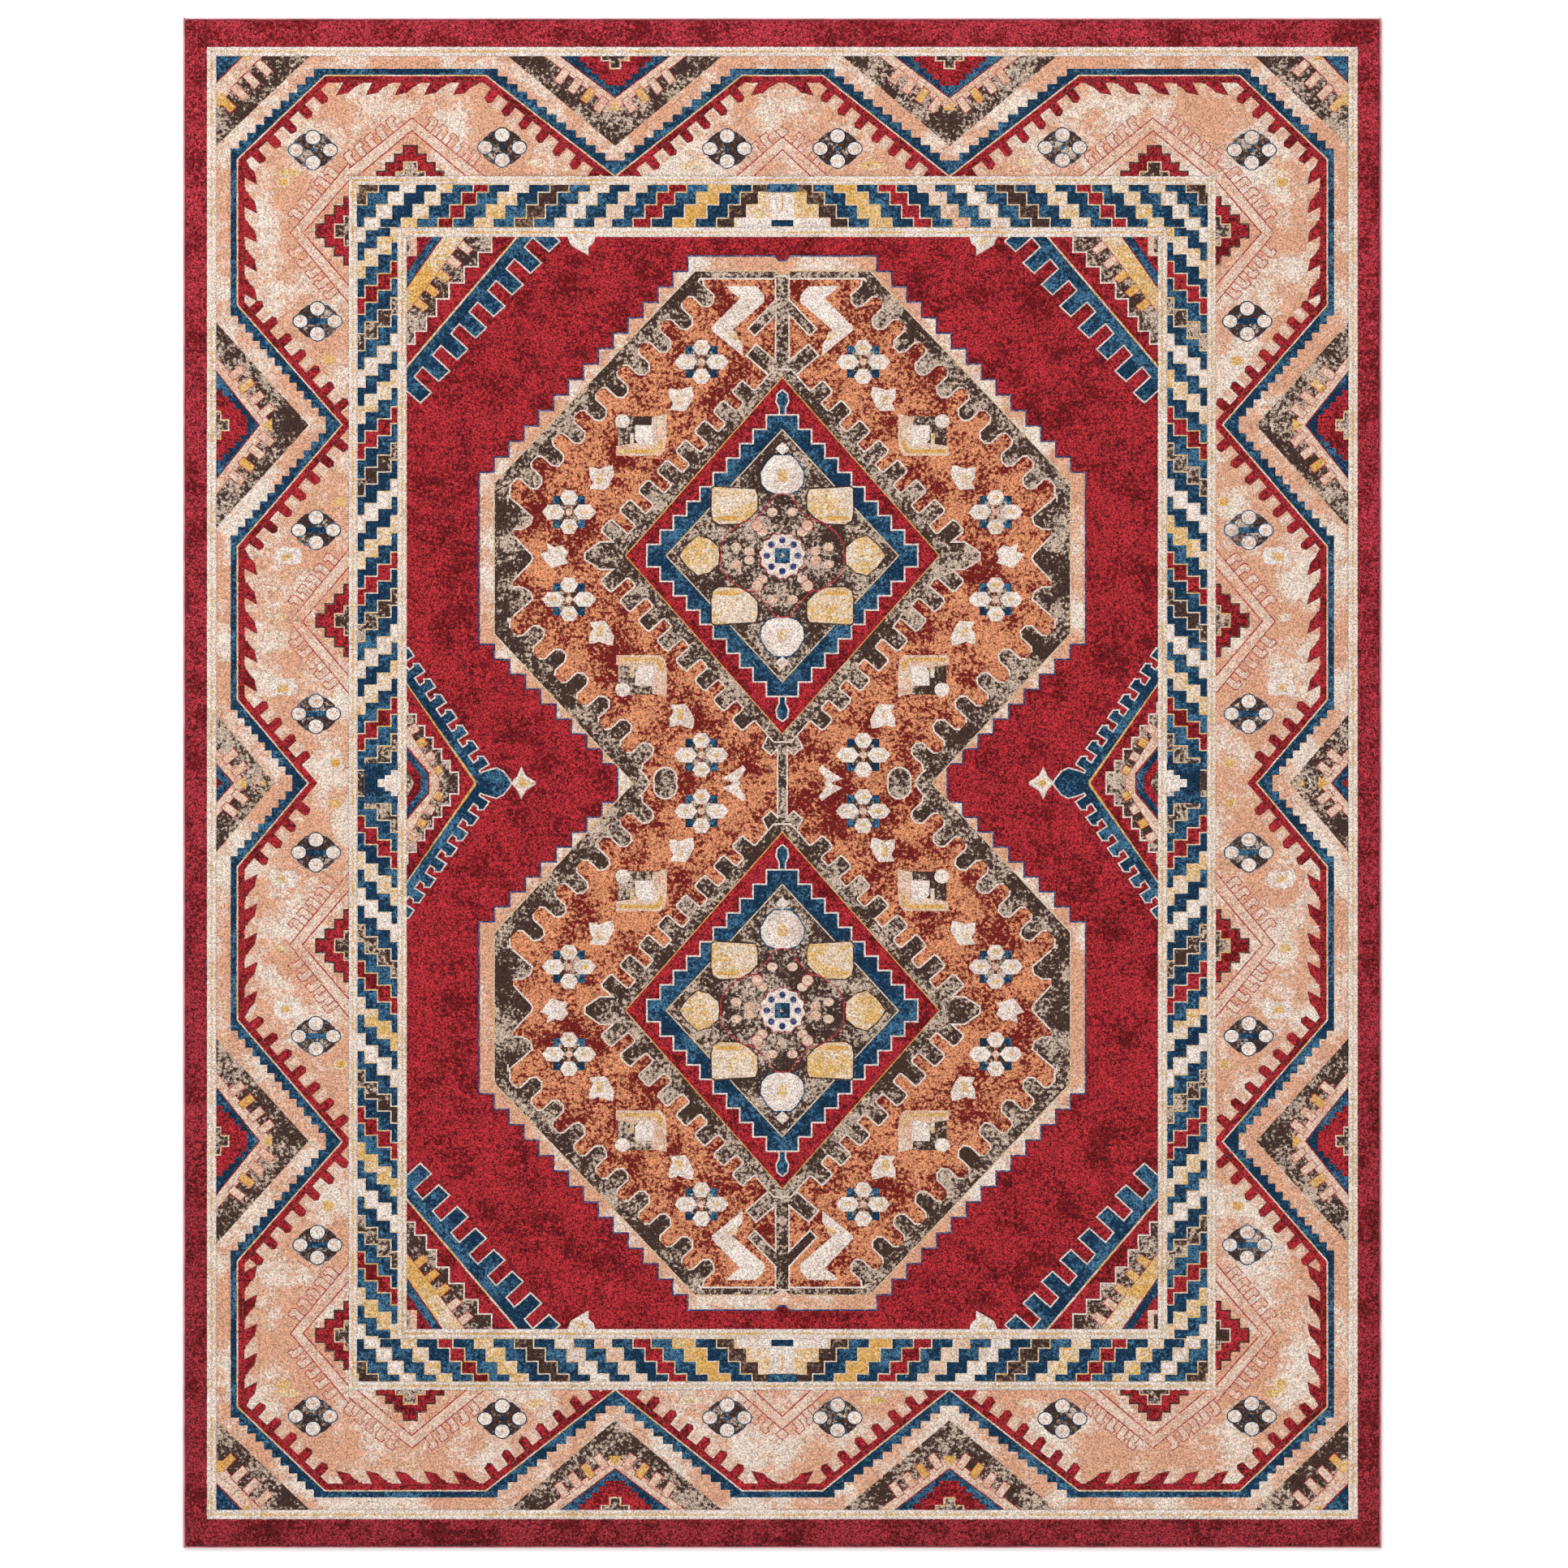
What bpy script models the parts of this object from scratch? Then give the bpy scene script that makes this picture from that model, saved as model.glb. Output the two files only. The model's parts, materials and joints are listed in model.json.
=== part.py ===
"""An area rug: cut pile tied into a woven ground, with a sized back and serged edges.

The rug lies on the floor with its length along Y and its pile up. The origin is on the
floor, under the middle of the rug. The pile is worked in zones, from the edge inwards: six
bands, each with two side runs and two end runs mitred at the corners, and then a field that
holds two stepped medallions with a diamond in each, four corner pieces and two side pendants.
"""

import math

import bmesh
import bpy

# Overall size
RUG_WIDTH = 2.388
RUG_LENGTH = 3.048
GAP = 0.0003  # clearance between pieces that touch

# Layers, from the floor up
BACK_SIZE_THICKNESS = 0.0008
WEAVE_THICKNESS = 0.0020
PILE_HEIGHT = 0.0080

# Serged edges: yarn wrapped round an edge cord, with the weave's edge held in a slot
SIDE_WRAP_WIDTH = 0.0064
END_WRAP_WIDTH = 0.0048
WRAP_HEIGHT = 0.0092
WRAP_WALL = 0.0011
WRAP_CORNER_RADIUS = 0.0021
CORD_CORNER_RADIUS = 0.0016
ARC_SEGMENTS = 6
WELD_DISTANCE = 0.00001
CUTTER_OVERSHOOT = 0.0040  # how far a cutter stands out above and below what it cuts

# Bands of the border: name, width along the sides, width across the ends
BANDS = (
    ("edge_band", 0.0412, 0.0526),
    ("outer_guard", 0.0187, 0.0186),
    ("main_border", 0.2640, 0.2389),
    ("inner_guard", 0.0162, 0.0160),
    ("stepped_guard", 0.0815, 0.0868),
    ("inner_stripe", 0.0178, 0.0186),
)

# Medallions: two stepped hexagons that meet at the rug's waist
MEDALLION_SIDE_MARGIN = 0.1430  # from the field's side to the medallion's flat flank
MEDALLION_END_MARGIN = 0.0360  # from the field's end to the medallion's flat top
MEDALLION_TOP_HALF_WIDTH = 0.1900
MEDALLION_WAIST_HALF_WIDTH = 0.3300
MEDALLION_FLANK_LOW = 0.2746  # from the rug's waist to the low end of the flank
MEDALLION_SHOULDER_DROP = 0.4310  # from the medallion's top to the high end of the flank
MEDALLION_UPPER_STEPS = 14
MEDALLION_LOWER_STEPS = 9

# Diamonds: one in each medallion
DIAMOND_SIDE_MARGIN = 0.2940  # from the medallion's flank to the diamond's side tip
DIAMOND_TOP_MARGIN = 0.2490  # from the medallion's top to the diamond's top tip
DIAMOND_WAIST_MARGIN = 0.1050  # from the rug's waist to the diamond's bottom tip
DIAMOND_STEPS = 9

# Corner pieces and side pendants, measured from the field's edge
CORNER_ACROSS = 0.3150
CORNER_ALONG = 0.3430
CORNER_STEPS = 8
PENDANT_HALF_LENGTH = 0.2210
PENDANT_DEPTH = 0.1400
PENDANT_STEPS = 5

# Heights that follow from the layers
WEAVE_BOTTOM = BACK_SIZE_THICKNESS + GAP
WEAVE_TOP = WEAVE_BOTTOM + WEAVE_THICKNESS
PILE_BOTTOM = WEAVE_TOP + GAP
PILE_TOP = PILE_BOTTOM + PILE_HEIGHT

# Half sizes that follow from the bands; neighbours share a line, and each keeps half a gap to it
HALF_WIDTH = RUG_WIDTH / 2
HALF_LENGTH = RUG_LENGTH / 2
PILE_HALF_WIDTH = HALF_WIDTH - SIDE_WRAP_WIDTH - GAP / 2
PILE_HALF_LENGTH = HALF_LENGTH - END_WRAP_WIDTH - GAP / 2
FIELD_HALF_WIDTH = PILE_HALF_WIDTH - sum(side for _, side, _ in BANDS)
FIELD_HALF_LENGTH = PILE_HALF_LENGTH - sum(end for _, _, end in BANDS)
MEDALLION_HALF_WIDTH = FIELD_HALF_WIDTH - MEDALLION_SIDE_MARGIN
MEDALLION_TOP = FIELD_HALF_LENGTH - MEDALLION_END_MARGIN
DIAMOND_HALF_WIDTH = MEDALLION_HALF_WIDTH - DIAMOND_SIDE_MARGIN
DIAMOND_TOP = MEDALLION_TOP - DIAMOND_TOP_MARGIN
DIAMOND_BOTTOM = DIAMOND_WAIST_MARGIN
DIAMOND_MIDDLE = (DIAMOND_TOP + DIAMOND_BOTTOM) / 2

# Colour, roughness and metallic of each finish
FINISHES = {
    "back_size": ((0.62, 0.53, 0.40), 0.95, 0.0),
    "ground_weave": ((0.66, 0.58, 0.46), 0.95, 0.0),
    "edge_cord": ((0.72, 0.62, 0.50), 0.95, 0.0),
    "serging": ((0.76, 0.27, 0.28), 0.85, 0.0),
    "edge_band": ((0.36, 0.03, 0.04), 0.95, 0.0),
    "outer_guard": ((0.72, 0.60, 0.46), 0.95, 0.0),
    "main_border": ((0.52, 0.32, 0.22), 0.95, 0.0),
    "inner_guard": ((0.74, 0.59, 0.42), 0.95, 0.0),
    "stepped_guard": ((0.20, 0.17, 0.16), 0.95, 0.0),
    "inner_stripe": ((0.74, 0.56, 0.37), 0.95, 0.0),
    "field": ((0.38, 0.03, 0.045), 0.95, 0.0),
    "medallion": ((0.55, 0.22, 0.11), 0.95, 0.0),
    "diamond": ((0.40, 0.03, 0.045), 0.95, 0.0),
    "corner_piece": ((0.10, 0.14, 0.22), 0.95, 0.0),
    "pendant": ((0.10, 0.14, 0.22), 0.95, 0.0),
}


def clear_scene():
    """Empty the scene."""
    for old in list(bpy.data.objects):
        bpy.data.objects.remove(old, do_unlink=True)


def new_collection(name):
    """A collection linked to the scene."""
    collection = bpy.data.collections.new(name)
    bpy.context.scene.collection.children.link(collection)
    return collection


def finish(name):
    """The Principled material of a finish, made once."""
    known = bpy.data.materials.get(name)
    if known:
        return known
    colour, roughness, metallic = FINISHES[name]
    material = bpy.data.materials.new(name)
    material.use_nodes = True
    material.diffuse_color = (*colour, 1.0)
    shader = material.node_tree.nodes["Principled BSDF"]
    shader.inputs["Base Color"].default_value = (*colour, 1.0)
    shader.inputs["Roughness"].default_value = roughness
    shader.inputs["Metallic"].default_value = metallic
    return material


def stair(start, end, count):
    """The corners of a stair of equal steps from start to end; each step goes across, then along."""
    run = (end[0] - start[0]) / count
    rise = (end[1] - start[1]) / count
    points = [start]
    for step in range(count):
        across = start[0] + run * (step + 1)
        points.append((across, start[1] + rise * step))
        points.append((across, start[1] + rise * (step + 1)))
    return points


def turned(points, flip_x=False, flip_y=False):
    """The same outline mirrored in either axis and kept anticlockwise."""
    mirrored = [(-x if flip_x else x, -y if flip_y else y) for x, y in points]
    return mirrored[::-1] if flip_x != flip_y else mirrored


def inset(points, distance):
    """An anticlockwise outline with every edge moved inwards; a negative distance grows it."""
    moved = []
    for index, (x, y) in enumerate(points):
        before = points[index - 1]
        after = points[(index + 1) % len(points)]
        into = unit(x - before[0], y - before[1])
        out = unit(after[0] - x, after[1] - y)
        spread = 1 + into[0] * out[0] + into[1] * out[1]
        moved.append(
            (
                x - (into[1] + out[1]) * distance / spread,
                y + (into[0] + out[0]) * distance / spread,
            )
        )
    return moved


def unit(x, y):
    """The direction of (x, y), one long."""
    length = math.hypot(x, y)
    return x / length, y / length


def rounded_corner(centre, radius, start_degrees):
    """A quarter circle, anticlockwise from start_degrees."""
    angles = [
        math.radians(start_degrees + 90 * step / ARC_SEGMENTS)
        for step in range(ARC_SEGMENTS + 1)
    ]
    return [
        (centre[0] + radius * math.cos(a), centre[1] + radius * math.sin(a))
        for a in angles
    ]


def extruded(name, finish_name, outline, thickness, collection):
    """A flat outline as a 2D curve of the given thickness about its plane."""
    curve = bpy.data.curves.new(name, "CURVE")
    curve.dimensions = "2D"
    curve.fill_mode = "BOTH"
    curve.extrude = thickness / 2
    spline = curve.splines.new("POLY")
    spline.points.add(len(outline) - 1)
    for point, (x, y) in zip(spline.points, outline):
        point.co = (x, y, 0.0, 1.0)
    spline.use_cyclic_u = True
    piece = bpy.data.objects.new(name, curve)
    if finish_name:
        curve.materials.append(finish(finish_name))
    collection.objects.link(piece)
    return piece


def as_mesh(piece):
    """The same piece as a mesh with welded caps, so that a Boolean can take it."""
    name = piece.name
    shown = piece.evaluated_get(bpy.context.evaluated_depsgraph_get())
    mesh = bpy.data.meshes.new_from_object(shown)
    welded = bmesh.new()
    welded.from_mesh(mesh)
    bmesh.ops.remove_doubles(welded, verts=welded.verts, dist=WELD_DISTANCE)
    welded.to_mesh(mesh)
    welded.free()
    solid = bpy.data.objects.new(name, mesh)
    solid.matrix_world = piece.matrix_world
    for holder in piece.users_collection:
        holder.objects.link(solid)
    bpy.data.objects.remove(piece, do_unlink=True)
    solid.name = name
    return solid


def slab(name, half_width, half_length, bottom, thickness, collection):
    """A flat rectangular layer."""
    bpy.ops.mesh.primitive_cube_add(size=1.0, location=(0, 0, bottom + thickness / 2))
    layer = bpy.context.object
    layer.name = name
    layer.scale = (2 * half_width, 2 * half_length, thickness)
    bpy.ops.object.transform_apply(location=False, rotation=False, scale=True)
    layer.data.materials.append(finish(name))
    for holder in list(layer.users_collection):
        holder.objects.unlink(layer)
    collection.objects.link(layer)
    return layer


def pile(name, finish_name, outline, collection):
    """One zone of pile: its outline keeps half a gap to its neighbours."""
    zone = extruded(name, finish_name, inset(outline, GAP / 2), PILE_HEIGHT, collection)
    zone.location.z = PILE_BOTTOM + PILE_HEIGHT / 2
    return zone


def pile_round(name, finish_name, outline, hole, collection, cutters):
    """One zone of pile that surrounds another, whose outline is the hole."""
    zone = pile(name, finish_name, outline, collection)
    height = PILE_HEIGHT + 2 * CUTTER_OVERSHOOT
    cutter = extruded(f"{name}_cutter", None, inset(hole, -GAP / 2), height, cutters)
    cutter.location.z = zone.location.z
    bpy.context.view_layer.update()
    zone = as_mesh(zone)
    cutter = as_mesh(cutter)
    cutter.hide_render = True
    cutter.display_type = "WIRE"
    cut = zone.modifiers.new("hole", "BOOLEAN")
    cut.operation = "DIFFERENCE"
    cut.solver = "MANIFOLD"
    cut.object = cutter
    return zone


def wrap_section(width):
    """The serging's section: x runs outwards from the pile and y up, with a slot for the weave."""
    top = WRAP_HEIGHT
    radius = min(WRAP_CORNER_RADIUS, width / 2 - GAP)
    slot_top = WEAVE_TOP + GAP
    return [
        (0.0, BACK_SIZE_THICKNESS),
        (0.0, 0.0),
        *rounded_corner((width - radius, radius), radius, -90),
        *rounded_corner((width - radius, top - radius), radius, 0),
        *rounded_corner((radius, top - radius), radius, 90),
        (0.0, slot_top),
        (WRAP_WALL, slot_top),
        (WRAP_WALL, top - WRAP_WALL),
        (width - WRAP_WALL, top - WRAP_WALL),
        (width - WRAP_WALL, BACK_SIZE_THICKNESS),
    ]


def cord_section(width):
    """The edge cord's section, which fills the wrap's hollow with a gap all round."""
    left = WRAP_WALL + GAP
    right = width - WRAP_WALL - GAP
    low = BACK_SIZE_THICKNESS + GAP
    high = WRAP_HEIGHT - WRAP_WALL - GAP
    radius = min(CORD_CORNER_RADIUS, (right - left) / 2 - GAP / 2, (high - low) / 2)
    return [
        *rounded_corner((right - radius, low + radius), radius, -90),
        *rounded_corner((right - radius, high - radius), radius, 0),
        *rounded_corner((left + radius, high - radius), radius, 90),
        *rounded_corner((left + radius, low + radius), radius, 180),
    ]


def serged_edge(side, turn_degrees, width, half_across, half_run, collection):
    """The wrap and cord of one edge; the section's x points out of the rug after the turn."""
    turn = math.radians(turn_degrees)
    inner = half_across - width
    place = (inner * math.cos(turn), inner * math.sin(turn), 0.0)
    for kind, finish_name, section in (
        ("serging", "serging", wrap_section(width)),
        ("edge_cord", "edge_cord", cord_section(width)),
    ):
        piece = extruded(f"{kind}_{side}", finish_name, section, 2 * half_run, collection)
        piece.rotation_euler = (math.pi / 2, 0.0, turn)
        piece.location = place


def band_runs(name, outer, inner, collection):
    """The four runs of one border band, mitred where they meet at the corners."""
    (outer_x, outer_y), (inner_x, inner_y) = outer, inner
    end_run = [(inner_x, inner_y), (outer_x, outer_y), (-outer_x, outer_y), (-inner_x, inner_y)]
    side_run = [(outer_x, -outer_y), (outer_x, outer_y), (inner_x, inner_y), (inner_x, -inner_y)]
    pile(f"{name}_top", name, end_run, collection)
    pile(f"{name}_bottom", name, turned(end_run, flip_y=True), collection)
    pile(f"{name}_right", name, side_run, collection)
    pile(f"{name}_left", name, turned(side_run, flip_x=True), collection)


def border(collection):
    """All the bands, from the edge inwards."""
    outer = (PILE_HALF_WIDTH, PILE_HALF_LENGTH)
    for name, side_width, end_width in BANDS:
        inner = (outer[0] - side_width, outer[1] - end_width)
        band_runs(name, outer, inner, collection)
        outer = inner


def medallion_right_side():
    """The medallion's right flank, from the waist up to the end of its flat top."""
    flank_low = (MEDALLION_HALF_WIDTH, MEDALLION_FLANK_LOW)
    flank_high = (MEDALLION_HALF_WIDTH, MEDALLION_TOP - MEDALLION_SHOULDER_DROP)
    waist = (MEDALLION_WAIST_HALF_WIDTH, 0.0)
    top = (MEDALLION_TOP_HALF_WIDTH, MEDALLION_TOP)
    lower = stair(flank_low, waist, MEDALLION_LOWER_STEPS)
    upper = stair(top, flank_high, MEDALLION_UPPER_STEPS)
    return lower[::-1] + upper[::-1]


def medallion_outline():
    """The upper medallion's outline, closed along the rug's waist."""
    right = medallion_right_side()
    left = [(-x, y) for x, y in right]
    return right + left[::-1]


def both_medallions_outline():
    """The outline round the two medallions together."""
    right = medallion_right_side()
    left = [(-x, y) for x, y in right]
    lower_left = [(-x, -y) for x, y in right[1:]]
    lower_right = [(x, -y) for x, y in right[1:]]
    return right + left[::-1] + lower_left + lower_right[::-1]


def diamond_outline():
    """The upper diamond's stepped outline."""
    half_height = DIAMOND_TOP - DIAMOND_MIDDLE
    blunt = half_height / DIAMOND_STEPS / 2
    quarter = stair(
        (DIAMOND_HALF_WIDTH / DIAMOND_STEPS, half_height),
        (DIAMOND_HALF_WIDTH, blunt),
        DIAMOND_STEPS - 1,
    )[::-1]
    right = [(x, -y) for x, y in quarter[::-1]] + quarter
    left = [(-x, y) for x, y in right]
    return [(x, y + DIAMOND_MIDDLE) for x, y in right + left[::-1]]


def corner_steps():
    """The stair across the field's upper right corner, from its end to its side."""
    corner = (FIELD_HALF_WIDTH, FIELD_HALF_LENGTH)
    start = (corner[0], corner[1] - CORNER_ALONG)
    end = (corner[0] - CORNER_ACROSS, corner[1])
    return stair(start, end, CORNER_STEPS)


def pendant_steps():
    """The stairs round the pendant on the field's right side, from low to high."""
    tip = (FIELD_HALF_WIDTH - PENDANT_DEPTH, PENDANT_HALF_LENGTH / PENDANT_STEPS / 2)
    upper = stair((FIELD_HALF_WIDTH, PENDANT_HALF_LENGTH), tip, PENDANT_STEPS)
    return [(x, -y) for x, y in upper] + upper[::-1]


def field_outline():
    """The field's outer outline, which runs round the corner pieces and the pendants."""
    right = pendant_steps() + corner_steps()
    lower = [(x, -y) for x, y in corner_steps()[::-1]]
    right = lower + right
    left = [(-x, y) for x, y in right]
    return right + left[::-1]


def field_pieces(collection, cutters):
    """The field and all that is worked into it."""
    pile_round("field", "field", field_outline(), both_medallions_outline(), collection, cutters)
    corner = [(FIELD_HALF_WIDTH, FIELD_HALF_LENGTH), *corner_steps()[::-1]]
    for end, flip_y in (("upper", False), ("lower", True)):
        medallion = turned(medallion_outline(), flip_y=flip_y)
        diamond = turned(diamond_outline(), flip_y=flip_y)
        pile_round(f"medallion_{end}", "medallion", medallion, diamond, collection, cutters)
        pile(f"diamond_{end}", "diamond", diamond, collection)
        for side, flip_x in (("right", False), ("left", True)):
            pile(
                f"corner_piece_{end}_{side}",
                "corner_piece",
                turned(corner, flip_x=flip_x, flip_y=flip_y),
                collection,
            )
    for side, flip_x in (("right", False), ("left", True)):
        outline = turned(pendant_steps()[::-1], flip_x=flip_x)
        pile(f"pendant_{side}", "pendant", outline, collection)


def serging(collection):
    """The four serged edges: the side runs are full length and the end runs fit between them."""
    end_half_run = HALF_WIDTH - SIDE_WRAP_WIDTH - GAP
    serged_edge("right", 0, SIDE_WRAP_WIDTH, HALF_WIDTH, HALF_LENGTH, collection)
    serged_edge("left", 180, SIDE_WRAP_WIDTH, HALF_WIDTH, HALF_LENGTH, collection)
    serged_edge("top", 90, END_WRAP_WIDTH, HALF_LENGTH, end_half_run, collection)
    serged_edge("bottom", 270, END_WRAP_WIDTH, HALF_LENGTH, end_half_run, collection)


def layers(collection):
    """The sized back and the ground weave, whose edges reach into the serging's slots."""
    slab(
        "back_size",
        HALF_WIDTH - SIDE_WRAP_WIDTH - GAP,
        HALF_LENGTH - END_WRAP_WIDTH - GAP,
        0.0,
        BACK_SIZE_THICKNESS,
        collection,
    )
    slab(
        "ground_weave",
        HALF_WIDTH - SIDE_WRAP_WIDTH + WRAP_WALL,
        HALF_LENGTH - END_WRAP_WIDTH + WRAP_WALL,
        WEAVE_BOTTOM,
        WEAVE_THICKNESS,
        collection,
    )


def main():
    """Model the rug."""
    clear_scene()
    rug = new_collection("area_rug")
    cutters = new_collection("cutters")
    layers(rug)
    serging(rug)
    border(rug)
    field_pieces(rug, cutters)


main()
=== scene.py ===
"""An area rug with a cut pile: a double medallion in a panelled border, bound with stitched edges.

The pattern is drawn as flat figures for one quarter of the rug and mirrored. Every zone of the pile
is then a solid of its own on the ground weave, with one finish for each yarn.
"""

import json
import logging
import math
from collections.abc import Iterable
from dataclasses import dataclass, field
from enum import Enum

import bmesh
import bpy
import numpy as np
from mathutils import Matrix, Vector, noise
from mathutils.geometry import delaunay_2d_cdt

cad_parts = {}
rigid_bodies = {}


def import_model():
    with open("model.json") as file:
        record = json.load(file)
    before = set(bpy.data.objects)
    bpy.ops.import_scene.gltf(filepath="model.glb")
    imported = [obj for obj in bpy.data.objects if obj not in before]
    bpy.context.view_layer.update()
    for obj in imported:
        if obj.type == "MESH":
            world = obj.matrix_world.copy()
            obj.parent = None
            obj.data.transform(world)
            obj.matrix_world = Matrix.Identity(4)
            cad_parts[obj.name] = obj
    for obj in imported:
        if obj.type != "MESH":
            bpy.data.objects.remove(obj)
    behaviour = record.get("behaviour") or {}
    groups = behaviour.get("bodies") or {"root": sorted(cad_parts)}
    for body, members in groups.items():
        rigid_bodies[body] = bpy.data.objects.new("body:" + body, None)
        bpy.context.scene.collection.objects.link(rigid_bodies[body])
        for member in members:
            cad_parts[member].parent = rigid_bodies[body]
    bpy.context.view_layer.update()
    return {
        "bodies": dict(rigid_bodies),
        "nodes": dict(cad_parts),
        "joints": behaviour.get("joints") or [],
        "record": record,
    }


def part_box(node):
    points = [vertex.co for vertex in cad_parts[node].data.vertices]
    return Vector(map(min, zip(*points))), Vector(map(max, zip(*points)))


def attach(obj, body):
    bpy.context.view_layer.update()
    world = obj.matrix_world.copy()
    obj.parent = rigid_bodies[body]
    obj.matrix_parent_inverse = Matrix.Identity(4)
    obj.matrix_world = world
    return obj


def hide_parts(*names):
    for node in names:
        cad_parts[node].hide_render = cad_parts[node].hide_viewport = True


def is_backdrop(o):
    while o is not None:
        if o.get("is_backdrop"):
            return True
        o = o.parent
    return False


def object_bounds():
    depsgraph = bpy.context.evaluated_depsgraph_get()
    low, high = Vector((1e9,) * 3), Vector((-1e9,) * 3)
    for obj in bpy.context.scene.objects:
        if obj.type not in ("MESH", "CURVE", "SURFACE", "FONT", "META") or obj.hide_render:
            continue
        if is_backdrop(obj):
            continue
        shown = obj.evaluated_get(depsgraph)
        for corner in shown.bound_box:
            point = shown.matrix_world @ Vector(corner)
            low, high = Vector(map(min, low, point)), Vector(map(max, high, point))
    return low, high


log = logging.getLogger("rug")

Colour = tuple[float, float, float]


Point = tuple[float, float]
Outline = list[Point]

MM = 0.001  # the pattern is drawn in millimetres, seen from above, about the rug's middle


class Yarn(Enum):
    """The yarns of the pile, each with its own finish."""

    CRIMSON = "crimson"
    MADDER = "madder"
    NAVY = "navy"
    BROWN = "brown"
    UMBER = "umber"
    RUST = "rust"
    IVORY = "ivory"
    CREAM = "cream"
    GOLD = "gold"
    PEACH = "peach"
    SLATE = "slate"
    GUARD = "guard"
    EDGE = "edge"


@dataclass(frozen=True)
class Part:
    """One solid of a zone: its name and the quarters of the rug that it covers."""

    name: str
    flips: tuple[Point, ...]

    def node(self, zone: "Zone") -> str:
        """The CAD node that the solid stands for."""
        return f"{zone.value}_{self.name}" if self.name else zone.value


UPPER = Part("upper", ((1, 1), (-1, 1)))
LOWER = Part("lower", ((1, -1), (-1, -1)))
RIGHT = Part("right", ((1, 1), (1, -1)))
LEFT = Part("left", ((-1, 1), (-1, -1)))
BAND_PARTS = (Part("top", UPPER.flips), Part("bottom", LOWER.flips), RIGHT, LEFT)
CORNER_PARTS = tuple(
    Part(f"{end}_{side}", ((x, y),))
    for end, y in (("upper", 1), ("lower", -1))
    for side, x in (("left", -1), ("right", 1))
)


class Zone(Enum):
    """The zones of the pile, from the edge inwards, under the names of the CAD part."""

    EDGE_BAND = "edge_band"
    OUTER_GUARD = "outer_guard"
    MAIN_BORDER = "main_border"
    INNER_GUARD = "inner_guard"
    STEPPED_GUARD = "stepped_guard"
    INNER_STRIPE = "inner_stripe"
    FIELD = "field"
    CORNER_PIECE = "corner_piece"
    PENDANT = "pendant"
    MEDALLION = "medallion"
    DIAMOND = "diamond"

    @property
    def is_band(self) -> bool:
        """Whether the zone runs all round the rug."""
        return list(Zone).index(self) < list(Zone).index(Zone.FIELD)

    @property
    def parts(self) -> tuple[Part, ...]:
        """The solids that the zone is made in."""
        if self.is_band:
            return BAND_PARTS
        return {
            Zone.FIELD: (Part("", UPPER.flips + LOWER.flips),),
            Zone.CORNER_PIECE: CORNER_PARTS,
            Zone.PENDANT: (LEFT, RIGHT),
        }.get(self, (UPPER, LOWER))


@dataclass(frozen=True)
class Figure:
    """One flat shape of the pattern, in one yarn; later figures lie over earlier ones."""

    outline: tuple[Point, ...]
    yarn: Yarn
    zone: Zone


@dataclass
class Drawing:
    """A list of figures in the order they are laid down, each within the zone begun last."""

    figures: list[Figure] = field(default_factory=list)
    clips: dict[Zone, int] = field(default_factory=dict)
    zone: Zone = Zone.EDGE_BAND

    def begin(self, zone: Zone, ground: Iterable[Point] = (), yarn: Yarn = Yarn.CRIMSON) -> None:
        """Begin a zone: its ground clips what follows, or the field's does if it has none.

        Args:
            zone: The zone.
            ground: Its ground's outline.
            yarn: Its ground's yarn.
        """
        self.zone = zone
        if ground:
            self.clips[zone] = len(self.figures)
            self.add(ground, yarn)
        else:
            self.clips[zone] = self.clips[Zone.FIELD]

    def add(self, outline: Iterable[Point], yarn: Yarn) -> None:
        """Lay one figure on top of the others."""
        self.figures.append(Figure(tuple(anticlockwise(list(outline))), yarn, self.zone))

    def add_edged(self, outline: Outline, yarn: Yarn, edge: Yarn, width: float) -> None:
        """Lay one figure with a line of another yarn round its outside.

        Args:
            outline: The figure's outline.
            yarn: Its own yarn.
            edge: The line's yarn.
            width: The line's width.
        """
        turned = anticlockwise(outline)
        self.add(outset(turned, width), edge)
        self.add(turned, yarn)


def area(outline: Outline) -> float:
    """The signed area of an outline, positive when it runs anticlockwise."""
    ends = outline[1:] + outline[:1]
    return sum(a[0] * b[1] - b[0] * a[1] for a, b in zip(outline, ends)) / 2


def anticlockwise(outline: Outline) -> Outline:
    """The outline run anticlockwise."""
    return outline if area(outline) > 0 else outline[::-1]


def unit(vector: Point) -> Point:
    """The vector's direction, one long."""
    length = math.hypot(*vector) or 1.0
    return vector[0] / length, vector[1] / length


def corner_shift(before: Point, at: Point, after: Point, distance: float) -> Point:
    """Where a corner goes when the two edges that meet there move to the right.

    Args:
        before: The point before the corner.
        at: The corner.
        after: The point after the corner.
        distance: How far the edges move.

    Returns:
        The new corner.
    """
    into = unit((at[0] - before[0], at[1] - before[1]))
    out = unit((after[0] - at[0], after[1] - at[1]))
    spread = max(1 + into[0] * out[0] + into[1] * out[1], 0.35)
    return (
        at[0] + (into[1] + out[1]) * distance / spread,
        at[1] - (into[0] + out[0]) * distance / spread,
    )


def outset(outline: Outline, distance: float) -> Outline:
    """An anticlockwise outline grown by a distance, or shrunk by a negative one."""
    count = len(outline)
    return [
        corner_shift(outline[i - 1], outline[i], outline[(i + 1) % count], distance)
        for i in range(count)
    ]


def side_of(path: Outline, distance: float) -> Outline:
    """An open path moved to its right by a distance, with mitred corners."""
    first = (2 * path[0][0] - path[1][0], 2 * path[0][1] - path[1][1])
    last = (2 * path[-1][0] - path[-2][0], 2 * path[-1][1] - path[-2][1])
    longer = [first, *path, last]
    return [
        corner_shift(longer[i - 1], longer[i], longer[i + 1], distance)
        for i in range(1, len(longer) - 1)
    ]


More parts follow.
